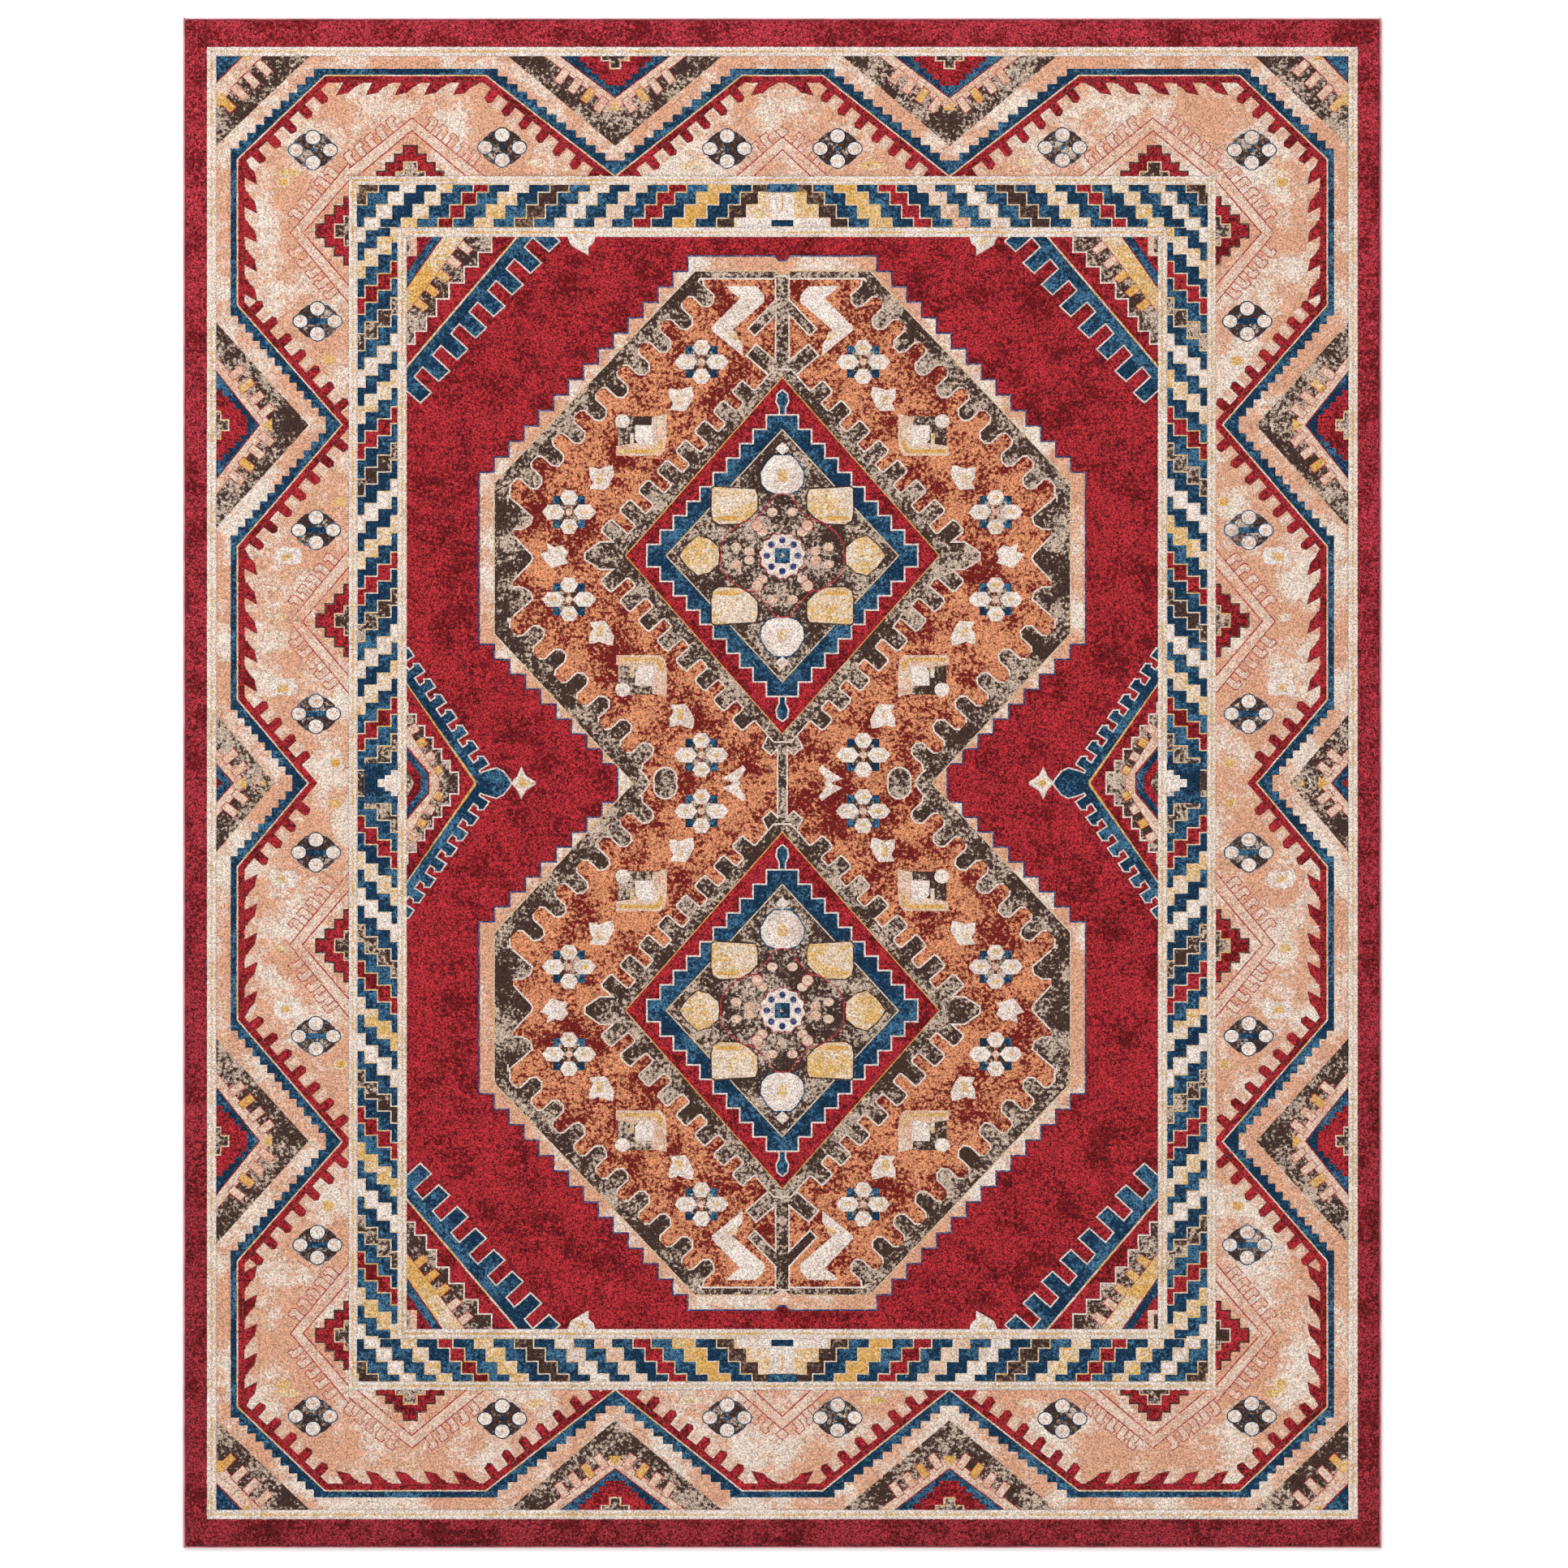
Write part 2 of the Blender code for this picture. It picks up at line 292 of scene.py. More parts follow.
def ribbon(path: Outline, left: float, right: float) -> Outline:
    """The strip between two offsets of a path.

    Args:
        path: The path's points.
        left: How far the strip reaches to the path's left.
        right: How far it reaches to the path's right.

    Returns:
        The strip's outline.
    """
    return side_of(path, right) + side_of(path, -left)[::-1]


def line(path: Outline, width: float) -> Outline:
    """A line of the given width along a path."""
    return ribbon(path, width / 2, width / 2)


def stair(start: Point, end: Point, steps: int, along_first: bool = False) -> Outline:
    """The corners of a stair of equal steps.

    Args:
        start: Where the stair starts.
        end: Where it ends.
        steps: How many steps it has.
        along_first: Whether each step goes along Y before it goes across.

    Returns:
        The corners from start to end.
    """
    run, rise = (end[0] - start[0]) / steps, (end[1] - start[1]) / steps
    points = [start]
    for step in range(steps):
        x, y = start[0] + run * step, start[1] + rise * step
        points.append((x, y + rise) if along_first else (x + run, y))
        points.append((x + run, y + rise))
    return points


def oval(centre: Point, across: float, along: float, points: int = 16) -> Outline:
    """An ellipse.

    Args:
        centre: Its middle.
        across: Its radius along X.
        along: Its radius along Y.
        points: How many corners it is drawn with.

    Returns:
        Its outline.
    """
    turns = [2 * math.pi * i / points for i in range(points)]
    return [
        (centre[0] + across * math.cos(t), centre[1] + along * math.sin(t)) for t in turns
    ]


def box(centre: Point, across: float, along: float) -> Outline:
    """A rectangle given by its middle and its half sizes."""
    x, y = centre
    return [
        (x - across, y - along),
        (x + across, y - along),
        (x + across, y + along),
        (x - across, y + along),
    ]


def lozenge(centre: Point, across: float, along: float) -> Outline:
    """A diamond given by its middle and its half sizes."""
    x, y = centre
    return [(x + across, y), (x, y + along), (x - across, y), (x, y - along)]


def shifted(outline: Iterable[Point], by: Point) -> Outline:
    """The outline moved by a vector."""
    return [(x + by[0], y + by[1]) for x, y in outline]


@dataclass(frozen=True)
class Arm:
    """A straight run of the pattern, with distances along it and out to its left."""

    start: Point
    end: Point

    @property
    def length(self) -> float:
        """How long the run is."""
        return math.dist(self.start, self.end)

    def at(self, along: float, out: float) -> Point:
        """The plan point at a distance along the run and out to its left."""
        x, y = unit((self.end[0] - self.start[0], self.end[1] - self.start[1]))
        return (
            self.start[0] + x * along - y * out,
            self.start[1] + y * along + x * out,
        )

    def place(self, local: Iterable[Point]) -> Outline:
        """An outline given by distances along and out, laid in the plan."""
        return [self.at(along, out) for along, out in local]


class Side(Enum):
    """Which way a motif on the border opens."""

    END = "end"
    LONG = "long"


def left_stair(start: Point, end: Point, steps: int) -> Outline:
    """The corners of a stair whose points stand out to the left of its run."""
    run, rise = end[0] - start[0], end[1] - start[1]
    return stair(start, end, steps, along_first=run * rise > 0)


@dataclass(frozen=True)
class Floret:
    """A flower of four petals round a darker diamond."""

    centre: Point
    petal: Yarn
    heart: Yarn
    edge: Yarn
    reach: Point = (34.0, 25.0)
    side_petal: Point = (14.0, 12.5)
    end_petal: Point = (14.5, 13.5)
    edge_width: float = 2.2
    heart_size: Point = (31.0, 31.0)
    bar: bool = False

    def draw(self, drawing: Drawing) -> None:
        """Lay the flower."""
        x, y = self.centre
        if self.heart is Yarn.UMBER:
            drawing.add_edged(oval(self.centre, 41, 35, 12), Yarn.BROWN, self.edge, 1.6)
            drawing.add(oval((x - 14, y + 12), 16, 12, 9), Yarn.UMBER)
            drawing.add(oval((x + 13, y - 11), 17, 13, 9), Yarn.UMBER)
        else:
            drawing.add(lozenge(self.centre, *self.heart_size), self.heart)
        if self.bar:
            drawing.add(box(self.centre, 19, 6), self.edge)
        for dx, dy in ((self.reach[0], 0), (-self.reach[0], 0), (0, self.reach[1]), (0, -self.reach[1])):
            across, along = self.side_petal if dx else self.end_petal
            petal = oval((x + dx, y + dy), across, along)
            if self.edge_width:
                drawing.add_edged(petal, self.petal, self.edge, self.edge_width)
            else:
                drawing.add(petal, self.petal)
            drawing.add(lozenge((x + dx, y + dy), 5, 4), Yarn.CREAM)
        drawing.add(oval(self.centre, 5.5, 5.5, 8), Yarn.CREAM if self.edge_width == 0 else self.edge)


@dataclass(frozen=True)
class MainBorder:
    """The wide border of lobed panels, drawn for one quarter of the rug."""

    outer: Point
    inner: Point
    bar: float = 12.0
    line_width: float = 3.0
    red_width: float = 13.0
    # The straight inner edge of the blue line, from the middle of the end to the middle of the side.
    edge: tuple[Point, ...] = (
        (0, 1411), (81, 1411), (333, 1210), (590, 1411), (912, 1411), (1087, 1243),
        (1087, 952), (879, 714), (1087, 472), (1087, 166), (947, 0),
    )
    steps: tuple[int, ...] = (0, 13, 13, 0, 11, 0, 14, 14, 0, 10)
    slant_tooth: tuple[Point, ...] = ((-9, 0), (-8, 25), (2, 29), (8, 24), (8, 0))
    saw_tooth: tuple[Point, ...] = ((-5, 0), (-20, 27), (3, 22), (13, 12), (29, 4), (30, 0))

    def draw(self, drawing: Drawing) -> None:
        """Lay the whole border."""
        self.outside(drawing)
        self.panel_ground(drawing)
        self.roofs(drawing)
        self.flowers(drawing)
        self.blue_line(drawing)

    def blue_line(self, drawing: Drawing) -> None:
        """The stepped blue line, the light line inside it and the toothed red band."""
        edge = [(-80, 1411), *self.edge, (1087, -166)]
        foot = side_of(edge, -self.bar)
        steps = (0, *self.steps, 10)
        stepped = [foot[0]]
        for start, end, count in zip(foot, foot[1:], steps):
            stepped += left_stair(start, end, count)[1:] if count else [end]
        drawing.add(stepped + side_of(edge, 0)[::-1], Yarn.NAVY)
        inside = self.line_width
        drawing.add(ribbon(edge, 0, inside), Yarn.GUARD)
        red = ribbon(edge, -inside, inside + self.red_width)
        drawing.add(red, Yarn.CRIMSON)
        for start, end in zip(self.edge, self.edge[1:]):
            self.red_teeth(
                drawing, Arm(end, start), slanted=abs(end[0] - start[0]) > 1 < abs(end[1] - start[1])
            )

    def red_teeth(self, drawing: Drawing, arm: Arm, slanted: bool) -> None:
        """The teeth of the red band along one run of it.

        Args:
            drawing: Where they are laid.
            arm: The run.
            slanted: Whether it is one of the slanting runs, whose teeth are narrow.
        """
        tooth, pitch = (self.slant_tooth, 43.0) if slanted else (self.saw_tooth, 58.0)
        count = max(1, round((arm.length - 24) / pitch))
        spare = arm.length - (count - 1) * pitch
        foot = self.line_width + self.red_width
        for index in range(count):
            local = [(spare / 2 + index * pitch + a, foot - 3 + o) for a, o in tooth]
            drawing.add_edged(arm.place(local), Yarn.CRIMSON, Yarn.BROWN, 1.1)
            if index:
                gap = spare / 2 + (index - 0.5) * pitch
                leaf = [(gap - 6, foot + 2), (gap + 6, foot + 2), (gap + 9, foot + 24), (gap - 7, foot + 28)]
                drawing.add(arm.place(leaf), Yarn.CREAM)

    def outside(self, drawing: Drawing) -> None:
        """What lies between the blue line and the rug's edge."""
        self.corner(drawing)
        self.valley(drawing, Side.END, (333, self.outer[1]), brown=(218, 179), navy=(112, 81), step=14)
        self.valley(drawing, Side.LONG, (self.outer[0], 713), brown=(209, 184), navy=(110, 84), step=15)
        self.valley(drawing, Side.LONG, (self.outer[0], 0), brown=(142, 117), navy=(41, 32), step=15)

    def valley(
        self,
        drawing: Drawing,
        side: Side,
        at: Point,
        brown: Point,
        navy: Point,
        step: float,
    ) -> None:
        """A V of nested bands that fills the gap between two panels.

        Args:
            drawing: Where it is laid.
            side: Whether it opens to the end or to the long side of the rug.
            at: The middle of its open side.
            brown: The half width and the depth of its outermost band.
            navy: The half width and the depth of its navy band.
            step: The size of the steps inside the navy band.
        """

        def lay(points: Iterable[Point]) -> Outline:
            if side is Side.END:
                return [(at[0] + across, at[1] - deep) for across, deep in points]
            return [(at[0] - deep, at[1] + across) for across, deep in points]

        drawing.add(lay([(-brown[0], -4), (brown[0], -4), (0, brown[1])]), Yarn.UMBER)
        if brown[1] < 150:
            drawing.add_edged(lay(oval((0, brown[1] - 23), 19, 17, 10)), Yarn.UMBER, Yarn.PEACH, 2.4)
            drawing.add(lay(oval((0, brown[1] - 23), 7, 6, 8)), Yarn.GOLD)
        tip, low = 16.0, navy[1] / navy[0]
        slope = math.hypot(navy[0], navy[1]) / navy[0]
        band = 17.0 * slope
        outer = [
            (-navy[0] - band / low, -4), (navy[0] + band / low, -4),
            (navy[0] + band / low - 2, 0), (tip / 2, navy[1] + band), (-tip / 2, navy[1] + band),
            (-navy[0] - band / low + 2, 0),
        ]
        drawing.add_edged(lay(outer), Yarn.CREAM, Yarn.MADDER, 1.6)
        for hand in (-1, 1):
            foot, point = (hand * (navy[0] + band / low), 0.0), (0.0, navy[1] + band)
            ends = (foot, point) if hand > 0 else (point, foot)
            local = Arm(ends[1], ends[0]) if side is Side.END else Arm(ends[1], ends[0])
            count = int((local.length - 22) / 32)
            for index in range(count):
                along = 26 + index * 32 if hand > 0 else local.length - 26 - index * 32
                tooth = [(along - 7.5, -3), (along + 7.5, -3), (along + 7.5, 27), (along - 7.5, 27)]
                outward = [local.at(a, o) for a, o in tooth]
                yarn = Yarn.GOLD if (index + int(at[0])) % 3 == 1 else Yarn.CREAM
                drawing.add_edged(lay(outward), yarn, Yarn.MADDER, 1.6)
        drawing.add(lay([(-14, navy[1] + band + 6), (14, navy[1] + band + 6), (0, navy[1] + 6), ]), Yarn.GOLD)
        drawing.add(lay([(-navy[0] - 4, -4), (navy[0] + 4, -4), (0, navy[1] + 3)]), Yarn.CRIMSON)
        drawing.add(lay([(-navy[0], -3), (navy[0], -3), (0, navy[1])]), Yarn.NAVY)
        reach = navy[0] - 40
        if reach < 20:
            drawing.add(lay([(-14, -3), (14, -3), (0, 14)]), Yarn.CRIMSON)
            return
        count = max(2, round(reach / step))
        depth = navy[1] - 23
        steps = stair((reach, 0), (step / 2, depth), count, along_first=True)
        left = [(-x, y) for x, y in steps[::-1]]
        drawing.add(lay([(reach, -3), *steps, *left, (-reach, -3)]), Yarn.CRIMSON)
        drawing.add(
            lay([(-29, -3), (29, -3), (29, 10), (12, 10), (12, 26), (-12, 26), (-12, 10), (-29, 10)]),
            Yarn.GUARD
        )
        drawing.add(
            lay([(-26, -3), (26, -3), (26, 8), (9, 8), (9, 23), (-9, 23), (-9, 8), (-26, 8)]), Yarn.UMBER
        )

    def corner(self, drawing: Drawing) -> None:
        """The triangle across the border's corner."""
        x, y = self.outer
        drawing.add([(x + 4, y + 4), (937, y + 4), (x + 4, 1266)], Yarn.UMBER)
        light = [
            (x + 4, y + 4), (x - 96, y + 4), (x - 78, y - 12), (x - 44, y - 46), (x - 14, y - 88),
            (x + 4, y - 104)
        ]
        drawing.add_edged(light, Yarn.CREAM, Yarn.MADDER, 1.6)
        arm = Arm((x - 100, y + 2), (x + 2, y - 100))
        for index, yarn in enumerate((Yarn.CREAM, Yarn.CREAM, Yarn.CREAM, Yarn.GOLD)):
            along = 22 + index * 34
            tooth = [(along - 7.5, 3), (along + 7.5, 3), (along + 7.5, -30), (along - 7.5, -30)]
            drawing.add_edged(arm.place(tooth), yarn, Yarn.MADDER, 1.6)
        drawing.add([(x + 4, y - 75), (x - 14, y - 75), (x - 14, y - 98), (x + 4, y - 98)], Yarn.GOLD)
        drawing.add([(x - 52, y + 3), (x - 68, y + 3), (x - 68, y - 8), (x - 52, y - 8)], Yarn.GOLD)
        drawing.add([(x + 4, y + 4), (x - 58, y + 4), (x + 4, y - 59)], Yarn.CRIMSON)
        drawing.add([(x + 4, y + 4), (x - 54, y + 4), (x + 4, y - 55)], Yarn.NAVY)

    def panel_ground(self, drawing: Drawing) -> None:
        """The gold touches on the panels' ground."""
        for centre in ((994, 1197), (905, 842), (890, 40), (880, 560)):
            drawing.add(oval(centre, 15, 11, 7), Yarn.GUARD)
            drawing.add(box(centre, 8, 7), Yarn.GOLD)
        for centre, across in (
            ((180, 1230), 26), ((490, 1235), 22), ((985, 1215), 26), ((1000, 330), 14), ((905, 195), 16)
        ):
            drawing.add(oval(centre, across, 9, 10), Yarn.GUARD)

    def roofs(self, drawing: Drawing) -> None:
        """The outlined roofs over the red stepped hills along the inner guard."""
        x, y = self.inner
        self.roof(drawing, Side.END, (738, y), half=112, rise=90)
        self.roof(drawing, Side.LONG, (x, 1096), half=108, rise=90)
        self.roof(drawing, Side.LONG, (x, 322), half=112, rise=92)
        self.roof(drawing, Side.END, (0, y), half=60, rise=52)
        self.hill(drawing, Side.END, (741, y), half=65, rise=59)
        self.hill(drawing, Side.LONG, (x, 1100), half=66, rise=64)
        self.hill(drawing, Side.LONG, (x, 324), half=70, rise=64)

    def roof(self, drawing: Drawing, side: Side, at: Point, half: float, rise: float) -> None:
        """A pale roof with a comb along it, outlined in a fine red line.

        Args:
            drawing: Where it is laid.
            side: Whether it stands on the end run or the side run of the guard.
            at: The middle of its foot.
            half: Half its width.
            rise: Its height.
        """

        def lay(points: Iterable[Point]) -> Outline:
            if side is Side.END:
                return [(at[0] + across, at[1] + high) for across, high in points]
            return [(at[0] + high, at[1] + across) for across, high in points]

        line_width = 1.8
        for hand in (-1, 1):
            arm = Arm((hand * half, 0), (0, rise))
            out = -1 if hand > 0 else 1
            count = max(2, int((arm.length + 8) / 27))
            for index in range(count):
                along = 12 + index * 27
                ends = 17.0, 17.0 + 31
                tooth = [
                    (along - 6, ends[0]), (along + 6, ends[0]), (along + 6, ends[1] - 9), (
                        along + 12, ends[1] - 8
                    ),
                    (along + 11, ends[1]), (along - 3, ends[1]), (along - 6, ends[1] - 6),
                ]
                outline = lay([arm.at(a, out * o) for a, o in tooth])
                drawing.add_edged(outline, Yarn.CREAM, Yarn.MADDER, line_width)
        grow = 19.0 * math.hypot(half, rise) / half
        wide = half + 19.0 * math.hypot(half, rise) / rise
        drawing.add(lay([(-wide - 4, 0), (0, rise + grow + 3), (wide + 4, 0)]), Yarn.MADDER)
        drawing.add(lay([(-wide, 0), (0, rise + grow), (wide, 0)]), Yarn.CREAM)
        drawing.add(lay([(-half - 2, -3), (0, rise + 2.5), (half + 2, -3)]), Yarn.MADDER)
        drawing.add(lay([(-half + 2, -3), (0, rise - 1), (half - 2, -3)]), Yarn.PEACH)

    def hill(self, drawing: Drawing, side: Side, at: Point, half: float, rise: float) -> None:
        """A red stepped hill with a dark outline and a chequered heart.

        Args:
            drawing: Where it is laid.
            side: Whether it stands on the end run or the side run of the guard.
            at: The middle of its foot.
            half: Half its width.
            rise: Its height.
        """

        def lay(points: Iterable[Point]) -> Outline:
            if side is Side.END:
                return [(at[0] + across, at[1] + high) for across, high in points]
            return [(at[0] + high, at[1] + across) for across, high in points]

        top = 12.0
        climb = stair((half, 8), (top, rise), 3, along_first=False)
        outline = [(half, -4), *climb, *[(-x, y) for x, y in climb[::-1]], (-half, -4)]
        drawing.add_edged(lay(outline), Yarn.CRIMSON, Yarn.BROWN, 3.2)
        cross = [(28, -4), (28, 8), (12, 8), (12, 27), (-12, 27), (-12, 8), (-28, 8), (-28, -4)]
        drawing.add_edged(lay(cross), Yarn.UMBER, Yarn.GUARD, 2.5)

    def flowers(self, drawing: Drawing) -> None:
        """The four-petalled flowers on the panels, and the small diamond between two of them."""
        for centre in ((935, 1261), (558, 1266), (110, 1264), (926, 920), (929, 504), (929, 138)):
            bar = centre[0] > 900 and centre[1] < 1200
            Floret(centre, Yarn.IVORY, Yarn.UMBER, Yarn.NAVY, bar=bar).draw(drawing)
        for centre in ((986, 452), (995, 191)):
            flower = [
                (-26, -14), (-10, -18), (4, -14), (22, -20), (29, -4), (20, 14), (6, 20), (-8, 16),
                (-24, 18), (-30, 2)
            ]
            drawing.add(shifted(flower, centre), Yarn.IVORY)
            drawing.add(shifted([(-12, -8), (10, -10), (14, 6), (-10, 9)], centre), Yarn.GUARD)
            drawing.add(oval(centre, 5, 4, 8), Yarn.GOLD)
        drawing.add(lozenge((0, 1297), 15, 13), Yarn.MADDER)
        drawing.add(lozenge((0, 1297), 12, 10), Yarn.CREAM)


@dataclass(frozen=True)
class SteppedGuard:
    """The guard of slanting stairs in alternate yarns, drawn for one quarter of the rug."""

    outer: Point
    inner: Point
    end_rows: tuple[float, ...] = (16.0, 25.0, 26.6, 19.2)
    side_rows: tuple[float, ...] = (16.0, 25.0, 26.6, 14.2)
    gap: float = 2.6
    shift: float = 23.5
    end_blue: tuple[float, ...] = (804.5, 731.5, 658.6, 585.7, 506, 425, 345.8, 269.9, 190.7, 103.4)
    end_between: tuple[Yarn, ...] = (
        Yarn.IVORY, Yarn.GUARD, Yarn.CRIMSON, Yarn.GUARD, Yarn.BROWN,
        Yarn.IVORY, Yarn.CREAM, Yarn.CRIMSON, Yarn.GOLD, Yarn.BROWN,
    )
    side_between: tuple[Yarn, ...] = (Yarn.CRIMSON, Yarn.UMBER, Yarn.IVORY, Yarn.GUARD)
    blue_width: float = 43.0
    side_first: float = 64.6
    side_pitch: float = 72.4
    side_blue: float = 39.0
    side_shift: float = 24.0

    def draw(self, drawing: Drawing) -> None:
        """Lay the end run and the side run, each on its own side of the corner."""
        self.side_run(drawing)
        self.end_run(drawing)

    def stairs(self, drawing: Drawing, rows: list[tuple[Point, Point]], yarn: Yarn) -> None:
        """Lay one stair given by its rows' lowest and highest corners."""
        outline: Outline = []
        for low, high in rows:
            outline += [(high[0], high[1]), (high[0], low[1])]
        for low, high in rows[::-1]:
            outline += [(low[0], low[1]), (low[0], high[1])]
        drawing.add(outset(anticlockwise(outline), -self.gap / 2), yarn)

    def end_run(self, drawing: Drawing) -> None:
        """The stairs that cross the end run."""
        top = self.outer[1]
        drawing.add(
            [
                (-60, self.inner[1]), (self.outer[0] + 5, self.inner[1]), (self.outer[0] + 5, top + 5),
                (-60, top + 5)
            ],
            Yarn.GUARD
        )
        levels = [top]
        for height in self.end_rows:
            levels.append(levels[-1] - height)

        def rows(far: float, near: float) -> list[tuple[Point, Point]]:
            return [
                ((near + row * self.shift, levels[row + 1]), (far + row * self.shift, levels[row]))
                for row in range(len(self.end_rows))
            ]

        starts = [*self.end_blue, 24.0]
        corner = rows(starts[0] + 40, starts[0])
        self.stairs(drawing, corner[:2], Yarn.BROWN)
        for index, far in enumerate(starts[:-1]):
            self.stairs(drawing, rows(far, far - self.blue_width), Yarn.NAVY)
            near = starts[index + 1]
            self.stairs(drawing, rows(far - self.blue_width, near), self.end_between[index])
        drawing.add([(-29, levels[0] + 3), (29, levels[0] + 3), (29, levels[1]), (-29, levels[1])], Yarn.NAVY)
        body = [
            (-24, levels[1] - 2), (24, levels[1] - 2), (24, levels[3]), (90, levels[3]), (90, levels[4]),
            (-90, levels[4]), (-90, levels[3]), (-24, levels[3])
        ]
        drawing.add(body, Yarn.IVORY)
        drawing.add(box((0, levels[1] - 22), 1.6, 16), Yarn.GOLD)
        drawing.add(box((0, levels[4] + 9), 22, 6.5), Yarn.NAVY)

    def side_run(self, drawing: Drawing) -> None:
        """The stairs that cross the side run."""
        edge = self.outer[0]
        columns = [edge]
        for width in self.side_rows:
            columns.append(columns[-1] - width)
        last = len(self.side_rows) - 1

        def rows(high: float, low: float) -> Outline:
            right: Outline = []
            left: Outline = []
            for column in range(last + 1):
                drop = (last - column) * self.side_shift
                right += [(columns[column], high - drop), (columns[column + 1], high - drop)]
                left += [(columns[column], low - drop), (columns[column + 1], low - drop)]
            return right + left[::-1]

        for index in range(17, -2, -1):
            high = self.side_first + self.side_pitch * index
            blue = outset(anticlockwise(rows(high, high - self.side_blue)), -self.gap / 2)
            between = outset(
                anticlockwise(rows(high - self.side_blue, high - self.side_pitch)), -self.gap / 2
            )
            yarn = self.side_between[(14 - index) % 4]
            if index >= 1:
                drawing.add(between, yarn)
            drawing.add(blue, Yarn.NAVY)
        drawing.add(
            [(columns[4] - 3, -36), (columns[4] - 3, 36), (columns[0] + 3, 36 - 80), (columns[0] + 3, -30)],
            Yarn.UMBER
        )
        cross = [
            (columns[4] - 2, 26), (780, 26), (780, 16), (792, 16), (792, 8), (806, 8), (806, -8), (792, -8),
            (792, -16), (780, -16), (780, -26), (columns[4] - 2, -26)
        ]
        drawing.add(box(((columns[1] + columns[4]) / 2, 0), 34, 40), Yarn.NAVY)
        drawing.add(cross, Yarn.IVORY)


@dataclass(frozen=True)
class CornerPiece:
    """The hooked piece in each corner of the field."""

    corner: Point

    def lay(self, points: Iterable[Point]) -> Outline:
        """Points given by distances in from the side and in from the end, laid in the plan."""
        return [(self.corner[0] - across, self.corner[1] - down) for across, down in points]

    def draw(self, drawing: Drawing) -> None:
        """Lay the piece, the hooked band first."""
        arm = Arm((222, 0), (0, 261))
        teeth = []
        for index in range(8):
            along = -34 + index * 56.5
            tooth = [(along - 14, 18), (along + 14, 18), (along + 15, 64), (along - 12, 67)]
            teeth.append(self.lay([arm.at(a, -o) for a, o in tooth]))
        band = self.lay(
            [
                arm.at(a, -o)
                for a, o in ((-120, 0), (arm.length + 120, 0), (arm.length + 120, 21), (-120, 21))
            ]
        )
        for outline in (*teeth, band):
            drawing.add(outset(anticlockwise(outline), 3), Yarn.IVORY)
        for outline in (*teeth, band):
            drawing.add(outline, Yarn.NAVY)
        drawing.add(self.lay([(-5, -5), (222, -5), (222, 0), (0, 261), (-5, 261)]), Yarn.GUARD)
        drawing.add(self.lay([(-5, -5), (217, -5), (217, 0), (0, 255), (-5, 255)]), Yarn.CRIMSON)
        treads = ((169, 30), (142, 59), (114, 91), (84, 123), (59, 158), (39, 187), (16, 213))
        outline: Outline = [(-5, -5), (treads[0][0], -5)]
        for (across, down), (following, _) in zip(treads, [*treads[1:], (-5, 0)]):
            outline += [(across, down), (following, down)]
        stepped = anticlockwise(self.lay(outline))
        drawing.add(outset(stepped, 1.5), Yarn.IVORY)
        drawing.add(outset(stepped, -1.5), Yarn.UMBER)
        comb = [(-5, -5), (115, -5), (115, 0), (0, 150), (-5, 150)]
        run = Arm((115, 0), (0, 148))
        for index in range(5):
            along = 16 + index * 36
            tooth = [(along - 8, -3), (along + 8, -3), (along + 7, 26), (along - 7, 28)]
            drawing.add_edged(
                self.lay([run.at(a, -o) for a, o in tooth]), Yarn.GOLD if index > 1 else Yarn.CREAM,
                Yarn.MADDER, 1.5
            )
        drawing.add_edged(self.lay(comb), Yarn.GUARD, Yarn.MADDER, 1.5)
        drawing.add(self.lay([(-5, 60), (42, 60), (62, 72), (0, 148), (-5, 150)]), Yarn.GOLD)
        drawing.add(self.lay([(-5, -5), (72, -5), (72, 0), (0, 103), (-5, 103)]), Yarn.CRIMSON)
        drawing.add(self.lay([(-5, -5), (69, -5), (69, 0), (0, 99), (-5, 99)]), Yarn.NAVY)
        drawing.add(self.lay([(-5, -5), (50, -5), (50, 0), (0, 72), (-5, 72)]), Yarn.CRIMSON)
        drawing.add(self.lay([(-5, -5), (20, -5), (20, 38), (-5, 38)]), Yarn.CREAM)
        drawing.add(self.lay([(-5, -5), (8, -5), (8, 30), (-5, 30)]), Yarn.UMBER)
        bud = [(318, -5), (377, -5), (372, 12), (362, 20), (362, 37), (346, 28), (326, 16)]
        drawing.add(self.lay(bud), Yarn.IVORY)
        drawing.add(self.lay([(338, 2), (356, 2), (352, 18), (342, 12)]), Yarn.GUARD)


